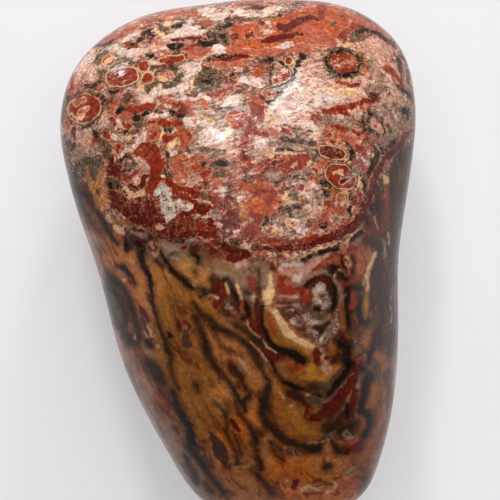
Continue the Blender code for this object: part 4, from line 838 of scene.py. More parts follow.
def apply_modifier(piece: bpy.types.Object, kind: str, **settings: object) -> None:
    """Add a modifier and apply it at once.

    Args:
        piece: the object to change.
        kind: the modifier's kind.
        settings: its options, by name.
    """
    choose(piece)
    modifier = piece.modifiers.new(kind.lower(), kind)
    for name, value in settings.items():
        setattr(modifier, name, value)
    bpy.ops.object.modifier_apply(modifier=modifier.name)


def wander(spot: Vector, size: float, swing: float, finer: float, share: float) -> Vector:
    """Read a noise of two sizes: one that swings so far, and a finer one with a share of that swing."""
    return noise.noise_vector(spot / size) * swing + noise.noise_vector(spot * finer / size) * swing * share


class MarkPainter:
    """Lays marks on the skin as fields of signed distance, one field for each mineral."""

    def __init__(self, places: np.ndarray, seed: int, coarse_below: float, crowding: float) -> None:
        """Work out where each point of the skin lies in the photograph.

        Args:
            places: the skin's points in mm.
            seed: seed of the marks on the unseen sides and of the noise that bends edges.
            coarse_below: mm, the height over which the skin's points lie closer together.
            crowding: how many times as many points there are to the area there.
        """
        self.coarse_below, self.crowding = coarse_below, crowding
        self.solid = places / PIXEL
        scale = CAMERA_HEIGHT / (CAMERA_HEIGHT - (places[:, 2] - RIM_LEVEL)) / PIXEL  # px for a mm
        across = PHOTO_CENTRE[0] + (places[:, 0] - VIEW_CENTRE[0]) * scale
        down = PHOTO_CENTRE[1] - (places[:, 1] - VIEW_CENTRE[1]) * scale
        self.seen = np.stack((across, down, places[:, 2] / PIXEL * DEPTH_WEIGHT), axis=1)
        self.chance = random.Random(seed)
        noise.seed_set(seed)
        self.fields = np.full((len(places), len(Mineral) + 1), REACH, dtype=np.float32)  # and the orbs' skin
        self.order = {mineral: number for number, mineral in enumerate(Mineral)}
        front = np.flatnonzero(places[:, 2] > RIM_LEVEL - 1.0)
        self.finder = kdtree.KDTree(len(front))
        for index in front:
            self.finder.insert((self.seen[index, 0], self.seen[index, 1], 0.0), int(index))
        self.finder.balance()

    def place_at(self, column: float, row: float) -> np.ndarray:
        """Give the column, row and weighted depth, in px, of the skin's point that a pixel shows."""
        return self.seen[self.finder.find((column, row, 0.0))[1]]

    def make_edges_uneven(self, swing: float, size: float, roam: float) -> None:
        """Shift the skin's points a little, so that no mark's edge is a clean curve.

        The unseen sides roam much further when they look for their ground's tint.

        Args:
            swing: how far, in px.
            size: size of the unevenness, in px.
            roam: how far the lowest point roams, in px.
        """
        self.roaming = self.seen.copy()
        for number, place in enumerate(self.solid):
            spot = Vector(place)
            below = max(0.0, 1.0 - place[2] * PIXEL / RIM_LEVEL)
            self.roaming[number] += wander(spot, ROAM_SIZE, 1.0, 2.7, 0.4) * (roam * below)
            shift = wander(spot, size, swing, 2.3, 0.5)
            self.seen[number] += shift
            self.solid[number] += shift

    def distance(self, near: np.ndarray, points: np.ndarray, widths: np.ndarray) -> np.ndarray:
        """Measure a stroke's signed distance.

        Args:
            near: the places to measure from.
            points: the stroke's points.
            widths: the stroke's half width at each point.

        Returns:
            The distance to the stroke's edge, below zero inside it.
        """
        best = np.linalg.norm(near - points[0], axis=1) - widths[0]
        for start, end, wide, wide_end in zip(points, points[1:], widths, widths[1:]):
            along = end - start
            share = np.clip((near - start) @ along / max(float(along @ along), 1e-9), 0.0, 1.0)
            gap = np.linalg.norm(near - start - share[:, None] * along, axis=1)
            best = np.minimum(best, gap - wide - (wide_end - wide) * share)
        return best

    def paint(
        self, where: np.ndarray, mineral: Mineral, points: np.ndarray, widths: np.ndarray, skin: bool = False
    ) -> None:
        """Lay one stroke of a mineral over what is there.

        Args:
            where: the places of the skin's points, in the stroke's own coordinates.
            mineral: the mineral.
            points: the stroke's points.
            widths: its half width at each point.
            skin: whether the stroke is an orb's body, which has a thin pale skin.
        """
        margin = REACH + widths.max()
        low, high = points.min(axis=0) - margin, points.max(axis=0) + margin
        chosen = np.flatnonzero(np.all((where > low) & (where < high), axis=1))
        if not len(chosen):
            return
        gap = np.clip(self.distance(where[chosen], points, widths), -REACH, REACH).astype(np.float32)
        rows = self.fields[chosen]
        own = self.order[mineral]
        kept = np.minimum(rows[:, own], gap)
        ringed = np.minimum(rows[:, -1], gap)
        rows = np.maximum(rows, -gap[:, None])
        rows[:, own] = kept
        if skin:
            rows[:, -1] = ringed
        self.fields[chosen] = rows

    def seen_mark(self, mark: Mark) -> None:
        """Lay marks that the photograph shows, on the surface under their pixels.

        Args:
            mark: the mineral and its strokes.
        """
        for numbers in mark[1:]:
            stroke = np.array(numbers, dtype=float).reshape(-1, 3)
            points = np.array([(column, row, self.place_at(column, row)[2]) for column, row, _ in stroke])
            self.paint(self.seen, mark[0], points, stroke[:, 2] + STROKE_ALLOWANCE)

    def seen_orb(self, orb: tuple) -> None:
        """Lay an orb that the photograph shows: a dark, grainy halo and a body with a pale skin.

        Args:
            orb: body, halo, the halo's width, column, row, half length, half width and turn.
        """
        body, halo, wide, column, row, long, short, turn = orb
        end = ORB_END * short
        step = np.array((math.cos(math.radians(turn)), -math.sin(math.radians(turn)))) * (long - end)
        spots = [(column + side * step[0], row + side * step[1]) for side in (-1, 0, 1)]
        points = np.array([(*spot, self.place_at(*spot)[2]) for spot in spots])
        widths = np.array((end, short, end))
        self.paint(self.seen, halo, points, widths + wide)
        self.paint(self.seen, body, points, widths, skin=halo is not SLATE and body in REDS)

    def unseen_stroke(self, mineral: Mineral, start: np.ndarray, drift: np.ndarray, wide: float) -> None:
        """Lay a short bent stroke on a side that the photograph doesn't show.

        Args:
            mineral: the mineral.
            start: its middle, in px of the solid.
            drift: its whole length and direction.
            wide: its half width in px.
        """
        bend = np.array([self.chance.uniform(-0.2, 0.2) for _ in range(3)]) * np.linalg.norm(drift)
        points = np.array([start - drift / 2, start + bend, start + drift / 2])
        widths = np.array([self.chance.uniform(0.3, 1.0), 1.0, self.chance.uniform(0.3, 1.0)]) * wide
        self.paint(self.solid, mineral, points, widths)

    def unseen_orb(self, centre: np.ndarray, size: float) -> None:
        """Lay an orb on an unseen side: a rim, a red body and sometimes a pale heart.

        Args:
            centre: its middle, in px of the solid.
            size: its radius in px.
        """
        rim, body = self.chance.choice(UNSEEN_ORBS)
        for mineral, share in ((rim, 1.0), (body, 0.82)):
            self.paint(self.solid, mineral, centre[None, :], np.array([size * share]), skin=mineral is body)
        if self.chance.random() < 0.5:
            heart = self.chance.choice((WHITE, CREAM, SALMON))
            self.paint(self.solid, heart, centre[None, :] + 0.1 * size, np.array([size * 0.3]))

    def mark_unseen_sides(self, strokes: int, orbs: int) -> None:
        """Carry the markings round the sides and the back, in the style of the front.

        Args:
            strokes: how many strokes.
            orbs: how many orbs, of which those on the lower rock are left out.
        """
        height = self.solid[:, 2] * PIXEL
        low = np.flatnonzero(height < UNSEEN_LEVEL)
        crowd = np.where(height[low] > self.coarse_below, 1.0 / self.crowding, 1.0)
        starts = iter(self.chance.choices(low, weights=crowd, k=strokes + orbs))
        for _ in range(strokes):
            start = self.solid[next(starts)]
            fine = start[1] * PIXEL > UNSEEN_DIVIDE
            style = UPPER_STYLE if fine else LOWER_STYLE
            mineral = self.chance.choice(style.minerals)
            long = self.chance.uniform(*style.length)
            way = self.chance.uniform(*style.way) if fine else self.chance.gauss(*style.way)
            drift = long * np.array([math.cos(way), math.sin(way), self.chance.uniform(-0.5, 0.5)])
            wide = self.chance.uniform(*style.half_width) * (THINNER if mineral in THIN_MINERALS else 1.0)
            self.unseen_stroke(mineral, start, drift, wide)
        for _ in range(orbs):
            centre = self.solid[next(starts)]
            if centre[1] * PIXEL > UNSEEN_DIVIDE:
                self.unseen_orb(centre, self.chance.uniform(6, 14))

    def ground_colours(self) -> np.ndarray:
        """Blend the ground's washes over the skin.

        Returns:
            A linear colour for each point.
        """
        total = np.full(len(self.seen), 1e-30)
        colours = np.zeros((len(self.seen), 4))
        for tint, numbers in WASHES.items():
            for column, row, reach in np.array(numbers, dtype=float).reshape(-1, 3):
                middle = (column, row, self.place_at(column, row)[2])
                weight = np.exp(-WASH_FALL * np.linalg.norm(self.roaming - middle, axis=1) / reach)
                total += weight
                colours += weight[:, None] * linear(tint.value)
        return colours / total[:, None]

    def lower_zone(self) -> np.ndarray:
        """Tell the brown, flowing lower rock from the upper one.

        Returns:
            0 in the upper rock to 1 in the lower one, for each point.
        """
        columns, rows = (np.array(part, dtype=float) for part in zip(*ZONE_LINE))
        line = np.interp(self.roaming[:, 0], columns, rows)
        return np.clip((self.roaming[:, 1] - line) / ZONE_PASSAGE + 0.5, 0.0, 1.0)


Socket = bpy.types.NodeSocket
SOFT = {"interpolation_type": "SMOOTHSTEP"}  # a step without corners
TINTS = {"data_type": "RGBA"}


@dataclass
class JasperPolish:
    """The stone's finish: polished jasper, glassy with a little waxiness, tumbled until it shines.

    Each mineral's field is made ragged by a fine noise, and a mineral covers those laid before it
    where its field is lower. The gloss follows the mineral, and faint tumbling marks keep it from
    being a mirror. Sizes are in mm. A noise's levels stray from 0.5 by about a ninth.
    """

    streak_upper: float = 17.0  # degrees by which the upper rock's streaks rise to the right
    streak_lower: float = -60.0
    streak_sizes: tuple = (0.34, 0.62)  # width of a streak in the upper and in the lower rock
    dark_streak: str = "#ADA29C"  # what the ground is multiplied by in its dark streaks
    pale_streaks: tuple = (("#D2B29C", 0.55), ("#B87A38", 0.30))  # tint and share, upper and lower rock
    ground_roughness: float = 0.2
    edge_grain: float = 0.15  # size of the ragged teeth of a mark's edge
    edge_gain: float = 4.5  # makes a noise's strays about half a px
    thread_patch: float = 0.9  # size of the stretches that have a pale thread
    thread_share: float = 0.42
    thread_tint: str = "#CF9F78"
    skin_tint: str = "#CD9C74"  # of the thin skin round an orb
    stain_reach: float = 7.0  # px, how far a dark vein of the lower rock stains what is beside it
    stain_share: float = 0.55
    stain_tint: str = "#6A3A1E"
    halo_reach: float = 6.0  # px, how far a mark's own dust lies round it
    halo_share: float = 0.10
    flecks: tuple = (  # tint, size, the noise levels between which it comes in, and its kin
        ("#9A4026", 0.30, 0.55, 0.60, REDS),
        ("#BE9A82", 0.24, 0.58, 0.64, (WHITE, CREAM, PINK)),
        ("#32251C", 0.21, 0.565, 0.61, (TAUPE, OLIVE, BLACK)),
    )
    speck_patch: float = 1.3  # size of the stretches that have specks and laces
    specks: tuple = (  # tint, size, the noise levels between which it comes in, and its share
        ("#2A1C14", 0.16, 0.575, 0.63, 0.7),
        ("#D8B296", 0.15, 0.60, 0.66, 0.35),
        ("#96381F", 0.25, 0.58, 0.63, 0.5),
    )
    shades: tuple = ((0.24, 0.32), (0.9, 0.26))  # size of a cloudy shade and its share
    silk_size: float = 0.13  # width of the silky streaks of the upper rock
    silk_share: float = 0.32
    silks: tuple = (("#E2CABB", 0.50, 0.64), ("#6A4234", 0.48, 0.36))  # tint and noise levels
    laces: tuple = (("#CF9C7C", 0.8, 0.55), ("#3A241A", 0.65, 0.6))  # tint, size and share
    agate_laces: tuple = (("#C8A898", 0.9, 0.55), ("#4A261C", 0.75, 0.7))
    lace_widths: tuple = (0.012, 0.03)  # half widths of both kinds, in levels of their noise
    crack_size: float = 2.1  # how far the healed cracks lie apart
    crack_bend: float = 0.9  # how far they stray
    crack_wave: float = 0.8  # size of their windings
    crack_patch: float = 1.1  # size of the stretches that have them
    crack_tint: str = "#4A2C22"
    gloss_patch: float = 0.5  # size of the duller stretches
    peel_size: float = 0.6  # size of the tumbling's faint waves
    relief: float = 0.03  # their height and that of the bedding
    ior: float = 1.23  # a worn polish: lower than clean quartz has
    tree: bpy.types.NodeTree = field(init=False)
    place: Socket = field(init=False)  # object coordinates
    zone: Socket = field(init=False)  # 0 in the upper rock to 1 in the lower one
    fields: dict = field(init=False)  # the signed distance to each mineral, in px

    def add(self, kind: str, *values: object, output: str = "", **named: object) -> Socket | None:
        """Add a shader node with its settings, and fill or link its inputs.

        Args:
            kind: the node's kind, as Blender names it after "ShaderNode".
            values: for its shown inputs in order, a value or the output that feeds it.
            output: name of the output that is wanted, where it isn't the first one shown.
            named: further inputs, which have a capital, and settings, which have none.

        Returns:
            The output, if the node has any.
        """
        node = self.tree.nodes.new("ShaderNode" + kind)
        for name, value in named.items():
            if name.islower():
                setattr(node, name, value)
        filled = list(zip((socket for socket in node.inputs if socket.enabled), values))
        filled += [(node.inputs[name], value) for name, value in named.items() if not name.islower()]
        for socket, value in filled:
            if isinstance(value, Socket):
                self.tree.links.new(value, socket)
            else:
                socket.default_value = value
        shown = {socket.name: socket for socket in node.outputs if socket.enabled}
        return shown[output] if output else next(iter(shown.values()), None)

    def grit(self, size: float) -> Socket:
        """Give the rock's grain, a noise of many sizes of which this one is the largest."""
        return self.add("TexNoise", self.place, 1 / (size * MM), Detail=5.0, Roughness=0.68)

    def along(self, turn: float, stretch: tuple) -> Socket:
        """Turn the coordinates to the rock's flow, in degrees from +X, and stretch them."""
        turned = self.add("VectorRotate", self.place, Angle=-math.radians(turn), rotation_type="Z_AXIS")
        return self.add("VectorMath", turned, stretch, operation="MULTIPLY")

    def streaks(self, turn: float, size: float) -> Socket:
        """Give the rock's streaks, a noise of this width that is drawn out along the flow."""
        drawn = self.along(turn, (0.28, 1.0, 0.7))
        return self.add("TexNoise", drawn, 1 / (size * MM), Detail=5.0, Roughness=0.62, Distortion=0.6)

    def nearest(self, kin: tuple, levels: dict) -> Socket:
        """Find the nearest of some minerals.

        Args:
            kin: those minerals.
            levels: the signed distance to each mineral.

        Returns:
            The signed distance to the nearest.
        """
        near: Socket | float = REACH
        for mineral in kin:
            near = self.add("Math", near, levels[mineral], operation="MINIMUM")
        return near

    def line(self, level: Socket, middle: float, outer: float, inner: float, share: float = 1.0) -> Socket:
        """Draw a line where a level passes a value.

        Args:
            level: the level.
            middle: the value that it passes.
            outer: how far from that value the line ends.
            inner: how far from it the line has its full strength.
            share: that strength.

        Returns:
            The line's mask.
        """
        off = self.add("Math", level, middle, operation="SUBTRACT")
        gap = self.add("Math", off, operation="ABSOLUTE")
        return self.add("MapRange", gap, outer, inner, 0.0, share, **SOFT)

    def lay(self, colour: Socket, tint: str, mask: Socket, where: Socket | float) -> Socket:
        """Lay a tint over the rock's colour, as strong as the product of both masks."""
        share = self.add("Math", mask, where, operation="MULTIPLY")
        return self.add("Mix", share, colour, linear(tint), **TINTS)

    def ground_finish(self, flow: Socket) -> Socket:
        """Grain the ground: fine streaks that flow with the rock, and flecks that gather round their kin.

        Args:
            flow: the rock's streaks.

        Returns:
            The ground's colour.
        """
        ground = self.add("Attribute", output="Color", attribute_name="ground")
        dark = self.add("MapRange", flow, 0.50, 0.36, **SOFT)
        pale = self.add("MapRange", flow, 0.52, 0.68, **SOFT)
        darker = self.add("Mix", 1.0, ground, linear(self.dark_streak), blend_type="MULTIPLY", **TINTS)
        paler = [self.add("Mix", share, ground, linear(tint), **TINTS) for tint, share in self.pale_streaks]
        paler = self.add("Mix", self.zone, *paler, **TINTS)
        colour = self.add("Mix", dark, ground, darker, **TINTS)
        colour = self.add("Mix", pale, colour, paler, **TINTS)
        fewer = self.add("Math", self.zone, -0.8, 0.9, operation="MULTIPLY_ADD")
        for tint, size, low, high, kin in self.flecks:
            near = self.nearest(kin, self.fields)
            closer = self.add("MapRange", near, 0.0, self.halo_reach, self.halo_share, 0.0)
            grain = self.add("Math", self.grit(size), closer, operation="ADD")
            colour = self.lay(colour, tint, self.add("MapRange", grain, low, high, **SOFT), fewer)
        return colour

    def edge_teeth(self) -> list[Socket]:
        """Make the noises that turn clean edges into ragged ones, calmer in the lower rock.

        Returns:
            Six swings about 0.
        """
        gain = self.add("MapRange", self.zone, 0.0, 1.0, self.edge_gain, 0.5 * self.edge_gain)
        swings = []
        for share in (1.0, 0.83):
            scale = share / (self.edge_grain * MM)
            tooth = self.add("TexNoise", self.place, scale, Detail=4.0, Roughness=0.65, output="Color")
            for channel in self.add("SeparateColor", tooth).node.outputs:
                centred = self.add("Math", channel, 0.5, operation="SUBTRACT")
                swings.append(self.add("Math", centred, gain, operation="MULTIPLY"))
        return swings

    def cloudiness(self) -> dict[float, Socket]:
        """Mottle the minerals, more calmly in the lower rock.

        Returns:
            A mask for each size of grain.
        """
        calm = self.add("Math", self.zone, -0.55, 1.0, operation="MULTIPLY_ADD")
        clouds = {}
        for size in sorted({mineral.value.grain for mineral in Mineral}):
            cloud = self.add("MapRange", self.grit(size), 0.34, 0.68, **SOFT)
            clouds[size] = self.add("Math", cloud, calm, operation="MULTIPLY")
        return clouds

    def lay_minerals(self, flow: Socket, colour: Socket) -> tuple[Socket, Socket, dict]:
        """Lay the minerals, each with its ragged edge drawn out along the flow.

        Args:
            flow: the rock's streaks.
            colour: the ground's colour.

        Returns:
            The colour, the roughness, and the signed distance to each mineral's ragged edge.
        """
        swings, clouds, levels = self.edge_teeth(), self.cloudiness(), {}
        centred = self.add("Math", flow, 0.5, operation="SUBTRACT")
        drawn = self.add("Math", centred, self.edge_gain, operation="MULTIPLY")
        softer = self.add("Math", self.zone, 1.2, 1.0, operation="MULTIPLY_ADD")
        best: Socket | float = 0.0
        rough: Socket | float = self.ground_roughness
        for number, mineral in enumerate(Mineral):
            finish = mineral.value
            tints = linear(finish.colour), linear(finish.mottle)
            body = self.add("Mix", clouds[finish.grain], *tints, **TINTS)
            tooth = swings[number % len(swings)]
            level = self.add("Math", tooth, finish.ragged, self.fields[mineral], operation="MULTIPLY_ADD")
            level = self.add("Math", drawn, finish.streaky, level, operation="MULTIPLY_ADD")
            lead = self.add("Math", best, level, operation="SUBTRACT")
            soft = self.add("Math", softer, finish.softness, operation="MULTIPLY")
            hard = self.add("Math", soft, -1.0, operation="MULTIPLY")
            mask = self.add("MapRange", lead, hard, soft, **SOFT)
            colour = self.add("Mix", mask, colour, body, **TINTS)
            rough = self.add("Mix", mask, rough, finish.roughness)
            best = self.add("Math", best, level, operation="MINIMUM")
            levels[mineral] = level
        return colour, rough, levels

    def smoulder(self, colour: Socket) -> Socket:
        """Let the dark veins of the lower rock stain what lies beside them, as seeping iron does.

        Args:
            colour: the rock's colour so far.

        Returns:
            The stained colour.
        """
        near = self.nearest(VEINS, self.fields)
        stain = self.add("MapRange", near, self.stain_reach, -1.0, 0.0, self.stain_share, **SOFT)
        stain = self.add("Math", stain, self.zone, operation="MULTIPLY")
        return self.add("Mix", stain, colour, linear(self.stain_tint), blend_type="MULTIPLY", **TINTS)

    def fine_grain(self, colour: Socket, agate: Socket, quartz: Socket) -> Socket:
        """Lay fine specks, silky streaks and lacy lines over every mineral, mostly in the upper rock.

        Args:
            colour: the rock's colour so far.
            agate: 1 on the mauve agate, which is laced all over.
            quartz: 1 off the red and the dark minerals, where the rock is silky.

        Returns:
            The colour with its grain.
        """
        fewer = self.add("Math", self.zone, -0.92, 1.0, operation="MULTIPLY_ADD")
        here = self.add("MapRange", self.grit(self.speck_patch), 0.44, 0.56, **SOFT)
        for tint, size, low, high, share in self.specks:
            speck = self.add("MapRange", self.grit(size), low, high, 0.0, share, **SOFT)
            speck = self.add("Math", speck, here, operation="MULTIPLY")
            colour = self.lay(colour, tint, speck, fewer)
        silk = self.streaks(self.streak_upper, self.silk_size)
        most = self.add("Math", self.zone, -self.silk_share, self.silk_share, operation="MULTIPLY_ADD")
        most = self.add("Math", most, quartz, operation="MULTIPLY")
        for tint, low, high in self.silks:
            colour = self.lay(colour, tint, self.add("MapRange", silk, low, high, **SOFT), most)
        for size, share in self.shades:
            shade = self.add("MapRange", self.grit(size), 0.3, 0.7, 1 - share, 1 + share)
            colour = self.add("VectorMath", colour, shade, operation="SCALE")
        laced = self.add("Math", here, fewer, operation="MULTIPLY")
        kinds = zip((self.laces, self.agate_laces), self.lace_widths, (laced, agate))
        for laces, width, where in kinds:
            for tint, size, share in laces:
                lace = self.line(self.grit(size), 0.5, width, 0.25 * width, share)
                colour = self.lay(colour, tint, lace, where)
        return colour

    def pale_threads(self, colour: Socket, red: Socket) -> Socket:
        """Draw the thin pale skin of the orbs, and fainter threads that edge the red here and there.

        Args:
            colour: the rock's colour so far.
            red: the signed distance to the nearest red, in px.

        Returns:
            The colour with its threads.
        """
        patch = self.grit(self.thread_patch)
        upper = self.add("MapRange", self.zone, 0.0, 1.0, self.thread_share, 0.0)
        here = self.add("MapRange", patch, 0.48, 0.56, **SOFT)
        thread = self.add("Math", self.line(red, 0.6, 0.7, 0.2), here, operation="MULTIPLY")
        colour = self.lay(colour, self.thread_tint, thread, upper)
        skin = self.add("Attribute", output="Fac", attribute_name="orb_skin")
        here = self.add("MapRange", patch, 0.38, 0.48, **SOFT)
        return self.lay(colour, self.skin_tint, self.line(skin, 0.5, 0.75, 0.15, 0.75), here)

    def hairlines(self, colour: Socket) -> Socket:
        """Draw the healed cracks, fine brown lines that run through the upper rock.

        Args:
            colour: the rock's colour so far.

        Returns:
            The colour with its hairlines.
        """
        bend = self.add("TexNoise", self.place, 1 / (self.crack_wave * MM), Detail=4.0, output="Color")
        reach = (self.crack_bend * MM,) * 3
        bent = self.add("VectorMath", bend, reach, self.place, operation="MULTIPLY_ADD")
        cell = self.add("TexVoronoi", bent, 1 / (self.crack_size * MM), feature="DISTANCE_TO_EDGE")
        here = self.add("MapRange", self.grit(self.crack_patch), 0.46, 0.56, **SOFT)
        share = self.add("Math", self.zone, -0.4, 0.55, operation="MULTIPLY_ADD")
        crack = self.add("MapRange", cell, 0.022, 0.006, **SOFT)
        crack = self.add("Math", crack, here, operation="MULTIPLY")
        return self.lay(colour, self.crack_tint, crack, share)

    def shine(self, colour: Socket, rough: Socket) -> None:
        """End the material: quartz gloss over the colour, with tumbling marks in gloss and relief.

        The upper rock keeps a fine relief along its bedding, which breaks the gloss into streaks.

        Args:
            colour: the rock's colour.
            rough: the rock's roughness.
        """
        duller = self.add("MapRange", self.grit(self.gloss_patch), 0.40, 0.75, -0.02, 0.16)
        gloss = self.add("Math", rough, duller, operation="ADD", use_clamp=True)
        drawn = self.along(self.streak_upper, (0.22, 1.0, 1.0))
        bedding = self.add("TexNoise", drawn, 1 / (self.streak_sizes[0] * MM), Detail=2.0)
        peel = self.add("TexNoise", self.place, 1 / (self.peel_size * MM), Detail=2.0)
        deep = self.add("Math", self.zone, -0.85, 1.0, operation="MULTIPLY_ADD")
        peel = self.add("Math", peel, 0.5, operation="MULTIPLY")
        relief = self.add("Math", bedding, deep, peel, operation="MULTIPLY_ADD")
        bump = self.add("Bump", Strength=1.0, Distance=self.relief * MM, Height=relief)
        shader = self.add("BsdfPrincipled", colour, Roughness=gloss, IOR=self.ior, Normal=bump)
        self.add("OutputMaterial", shader)

    def make(self) -> bpy.types.Material:
        """Make the material.

        Returns:
            The material.
        """
        material = bpy.data.materials.new("polished_leopard_skin_jasper")
        material.use_nodes = True
        self.tree = material.node_tree
        self.tree.nodes.clear()
        self.place = self.add("TexCoord", output="Object")
        self.zone = self.add("Attribute", output="Fac", attribute_name="lower_rock")
        channels = []
        for number in range(len(Mineral) // 3):
            source = self.add("Attribute", output="Vector", attribute_name=f"minerals_{number}")
            channels += self.add("SeparateXYZ", source).node.outputs
        self.fields = dict(zip(Mineral, channels))
        flows = map(self.streaks, (self.streak_upper, self.streak_lower), self.streak_sizes)
        flow = self.add("Mix", self.zone, *flows)
        colour, rough, levels = self.lay_minerals(flow, self.ground_finish(flow))
        red, dark = (self.nearest(kin, levels) for kin in (REDS, DARKS))
        off_red, off_dark = (self.add("MapRange", near, 0.0, 2.0, **SOFT) for near in (red, dark))
        quartz = self.add("Math", off_red, off_dark, operation="MULTIPLY")
        agate = self.add("MapRange", self.fields[MAUVE], 0.4, -1.4, **SOFT)
        colour = self.fine_grain(self.smoulder(colour), agate, quartz)
        self.shine(self.hairlines(self.pale_threads(colour, red)), rough)
        return material


@dataclass
class TumbledJasper:
    """The stone: its skin and the markings on it."""

    node: bpy.types.Object
    target_levels: int = 3  # smoothing of the form that the finer skin is laid on
    skin_levels: int = 1
    front_cuts: int = 2  # further cuts of each face that the photograph shows
    front_level: float = 7.4  # mm, the lowest height that is cut finer
    edge_swing: float = 1.5  # px, how far a mark's edge strays from a clean curve
    edge_size: float = 8.0  # px, size of its windings
    roam: float = 110.0  # px, how far the unseen sides' ground strays from the seen side's
    strokes: int = 1300
    orbs: int = 120
    seed: int = 4
    piece: bpy.types.Object = field(init=False)

    def merged_copy(self, name: str) -> bpy.types.Object:
        """Copy the CAD node's loose triangles and join them into one skin of quads.

        Args:
            name: the copy's name.

        Returns:
            The copy.
        """
        copy = bpy.data.objects.new(name, self.node.data.copy())
        bpy.context.scene.collection.objects.link(copy)
        choose(copy)
        bpy.ops.object.mode_set(mode="EDIT")
        bpy.ops.mesh.select_all(action="SELECT")
        bpy.ops.mesh.remove_doubles(threshold=1e-7)
        bpy.ops.mesh.tris_convert_to_quads(face_threshold=math.pi, shape_threshold=math.pi)
        bpy.ops.object.mode_set(mode="OBJECT")
        bpy.ops.object.shade_smooth()
        return copy

    def cut_front(self) -> None:
        """Cut the faces that the photograph shows finer, because the markings are as fine as that."""
        choose(self.piece)
        bpy.ops.object.mode_set(mode="EDIT")
        bpy.ops.mesh.select_mode(type="FACE")
        bpy.ops.mesh.select_all(action="DESELECT")
        bpy.ops.object.mode_set(mode="OBJECT")
        for face in self.piece.data.polygons:
            face.select = face.center.z > self.front_level * MM
        bpy.ops.object.mode_set(mode="EDIT")
        bpy.ops.mesh.subdivide(number_cuts=self.front_cuts)
        bpy.ops.mesh.select_all(action="SELECT")
        bpy.ops.mesh.normals_make_consistent(inside=False)
        bpy.ops.object.mode_set(mode="OBJECT")
        bpy.ops.object.shade_smooth()

    def sink_pits(self, painter: MarkPainter, places: np.ndarray) -> None:
        """Sink the few small pits that the polish didn't reach.

        Args:
            painter: what knows the photograph's pixel of each point.
            places: the skin's points in metres, changed in place.
        """
        normals = np.empty(len(places) * 3, dtype=np.float32)
        self.piece.data.vertices.foreach_get("normal", normals)
        normals = normals.reshape(-1, 3)
        for column, row, reach, depth in PITS:
            gap = np.linalg.norm(painter.seen - painter.place_at(column, row), axis=1) / reach
            places -= normals * (np.exp(-gap * gap) * depth * MM)[:, None]

    def build(self) -> None:
        """Make the stone's skin and lay its markings on it."""
        form = self.merged_copy("smooth_form")
        apply_modifier(form, "SUBSURF", levels=self.target_levels, render_levels=self.target_levels)
        self.piece = self.merged_copy("tumbled_jasper")
        apply_modifier(self.piece, "SUBSURF", levels=self.skin_levels, render_levels=self.skin_levels)
        self.cut_front()
        apply_modifier(self.piece, "SHRINKWRAP", target=form, wrap_method="NEAREST_SURFACEPOINT")
        bpy.data.objects.remove(form)
        mesh = self.piece.data
        places = np.empty(len(mesh.vertices) * 3, dtype=np.float64)
        mesh.vertices.foreach_get("co", places)
        places = places.reshape(-1, 3)
        painter = MarkPainter(places / MM, self.seed, self.front_level, (self.front_cuts + 1) ** 2)
        self.sink_pits(painter, places)
        mesh.vertices.foreach_set("co", places.ravel())
        painter.make_edges_uneven(self.edge_swing, self.edge_size, self.roam)
        painter.mark_unseen_sides(self.strokes, self.orbs)
        for mark in (mark for region in REGIONS for mark in region):
            painter.seen_mark(mark)
        for orb in ORBS:
            painter.seen_orb(orb)
        for mark in HEARTS:
            painter.seen_mark(mark)
        self.store(painter)
        mesh.update()

    def store(self, painter: MarkPainter) -> None:
        """Keep the painter's fields on the mesh, three minerals to an attribute.

        Args:
            painter: the painter, when all marks are laid.
        """
        rows = [
            (f"minerals_{first // 3}", "FLOAT_VECTOR", "vector", painter.fields[:, first : first + 3])
            for first in range(0, len(Mineral), 3)
        ]
        rows.append(("ground", "FLOAT_COLOR", "color", painter.ground_colours()))
        rows.append(("orb_skin", "FLOAT", "value", painter.fields[:, -1]))
        rows.append(("lower_rock", "FLOAT", "value", painter.lower_zone()))
        for name, kind, key, values in rows:
            layer = self.piece.data.attributes.new(name, kind, "POINT")
            layer.data.foreach_set(key, np.ascontiguousarray(values, dtype=np.float32).ravel())

    def dress(self) -> None:
        """Give the skin its finish and tie it to the frame."""
        mesh = self.piece.data
        mesh.materials.clear()
        mesh.materials.append(JasperPolish().make())
        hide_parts("jasper_stone")
        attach(self.piece, "root")
        log.info("%s: %d points, %d faces", self.piece.name, len(mesh.vertices), len(mesh.polygons))


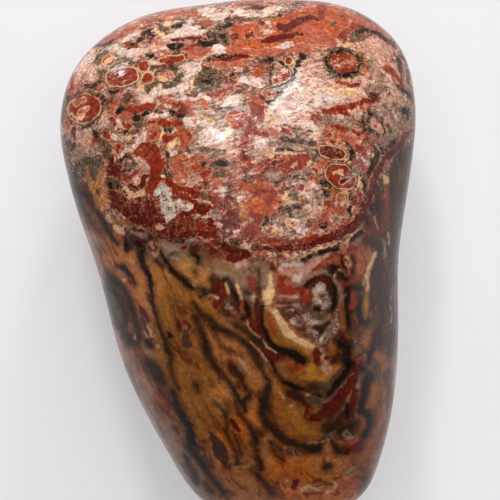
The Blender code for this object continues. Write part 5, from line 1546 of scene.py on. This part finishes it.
@dataclass
class Studio:
    """The plain pale floor, the soft light and the camera."""

    floor_side: float = 1.6  # m
    floor_colour: str = "#ABAAAD"
    floor_roughness: float = 0.9
    floor_glow: float = 0.38
    world_colour: str = "#F4F4F8"
    world_strength: float = 0.12
    lights: tuple = (  # name, place in m, sides in m, power in W
        ("key_softbox", (0.03, 0.40, 0.29), (0.46, 0.26), 1.1),
        ("top_softbox", (0.0, 0.10, 0.48), (0.40, 0.40), 1.25),
        ("left_glint", (-0.064, 0.36, 0.341), (0.06, 0.06), 0.85),
        ("right_glint", (0.092, 0.432, 0.235), (0.06, 0.06), 0.7),
        ("low_glint", (-0.32, 0.383, 0.03), (0.05, 0.05), 0.7),
        ("side_glint", (0.42, 0.10, 0.05), (0.04, 0.20), 0.25),
    )

    def floor(self) -> None:
        """Lay the floor: a plain matt card on a softly lit table."""
        bpy.ops.object.select_all(action="DESELECT")
        bpy.ops.mesh.primitive_plane_add(size=self.floor_side)
        floor = bpy.context.object
        floor.name = "plain_floor"
        card = bpy.data.materials.new("matt_card")
        card.use_nodes = True
        inputs = card.node_tree.nodes["Principled BSDF"].inputs
        inputs["Base Color"].default_value = linear(self.floor_colour)
        inputs["Roughness"].default_value = self.floor_roughness
        inputs["Emission Color"].default_value = linear("#FFFFFF")
        inputs["Emission Strength"].default_value = self.floor_glow
        floor.data.materials.append(card)

    def light(self) -> None:
        """Hang the softboxes round the stone, aim them at it and light the room."""
        for name, place, sides, power in self.lights:
            bpy.ops.object.select_all(action="DESELECT")
            bpy.ops.object.light_add(type="AREA", location=place)
            lamp = bpy.context.object
            lamp.name = name
            lamp.data.shape = "RECTANGLE"
            lamp.data.size, lamp.data.size_y = sides
            lamp.data.energy = power
            lamp.visible_camera = False
            lamp.rotation_euler = (-Vector(place)).to_track_quat("-Z", "Y").to_euler()
        world = bpy.data.worlds.new("pale_room")
        world.use_nodes = True
        inputs = world.node_tree.nodes["Background"].inputs
        inputs["Color"].default_value = linear(self.world_colour)
        inputs["Strength"].default_value = self.world_strength
        bpy.context.scene.world = world

    def camera(self) -> None:
        """Set the camera straight over the stone, with the photograph's frame."""
        lens = bpy.data.cameras.new("photo_camera")
        lens.sensor_width = SENSOR
        lens.lens = SENSOR * CAMERA_HEIGHT / (PHOTO_SIDE * PIXEL)
        lens.clip_start = 0.01
        camera = bpy.data.objects.new("photo_camera", lens)
        camera.location = (VIEW_CENTRE[0] * MM, VIEW_CENTRE[1] * MM, (RIM_LEVEL + CAMERA_HEIGHT) * MM)
        bpy.context.scene.collection.objects.link(camera)
        bpy.context.scene.camera = camera
        bpy.context.scene.view_settings.view_transform = "Standard"

    def build(self) -> None:
        """Make the whole studio."""
        self.floor()
        self.light()
        self.camera()
        log.info("studio: floor, %d lights and camera", len(self.lights))


def main() -> None:
    """Load the frame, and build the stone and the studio."""
    logging.basicConfig(level=logging.INFO, format="%(name)s: %(message)s")
    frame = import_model()
    stone = TumbledJasper(frame["nodes"]["jasper_stone"])
    stone.build()
    stone.dress()
    Studio().build()


if __name__ == "__main__":
    main()
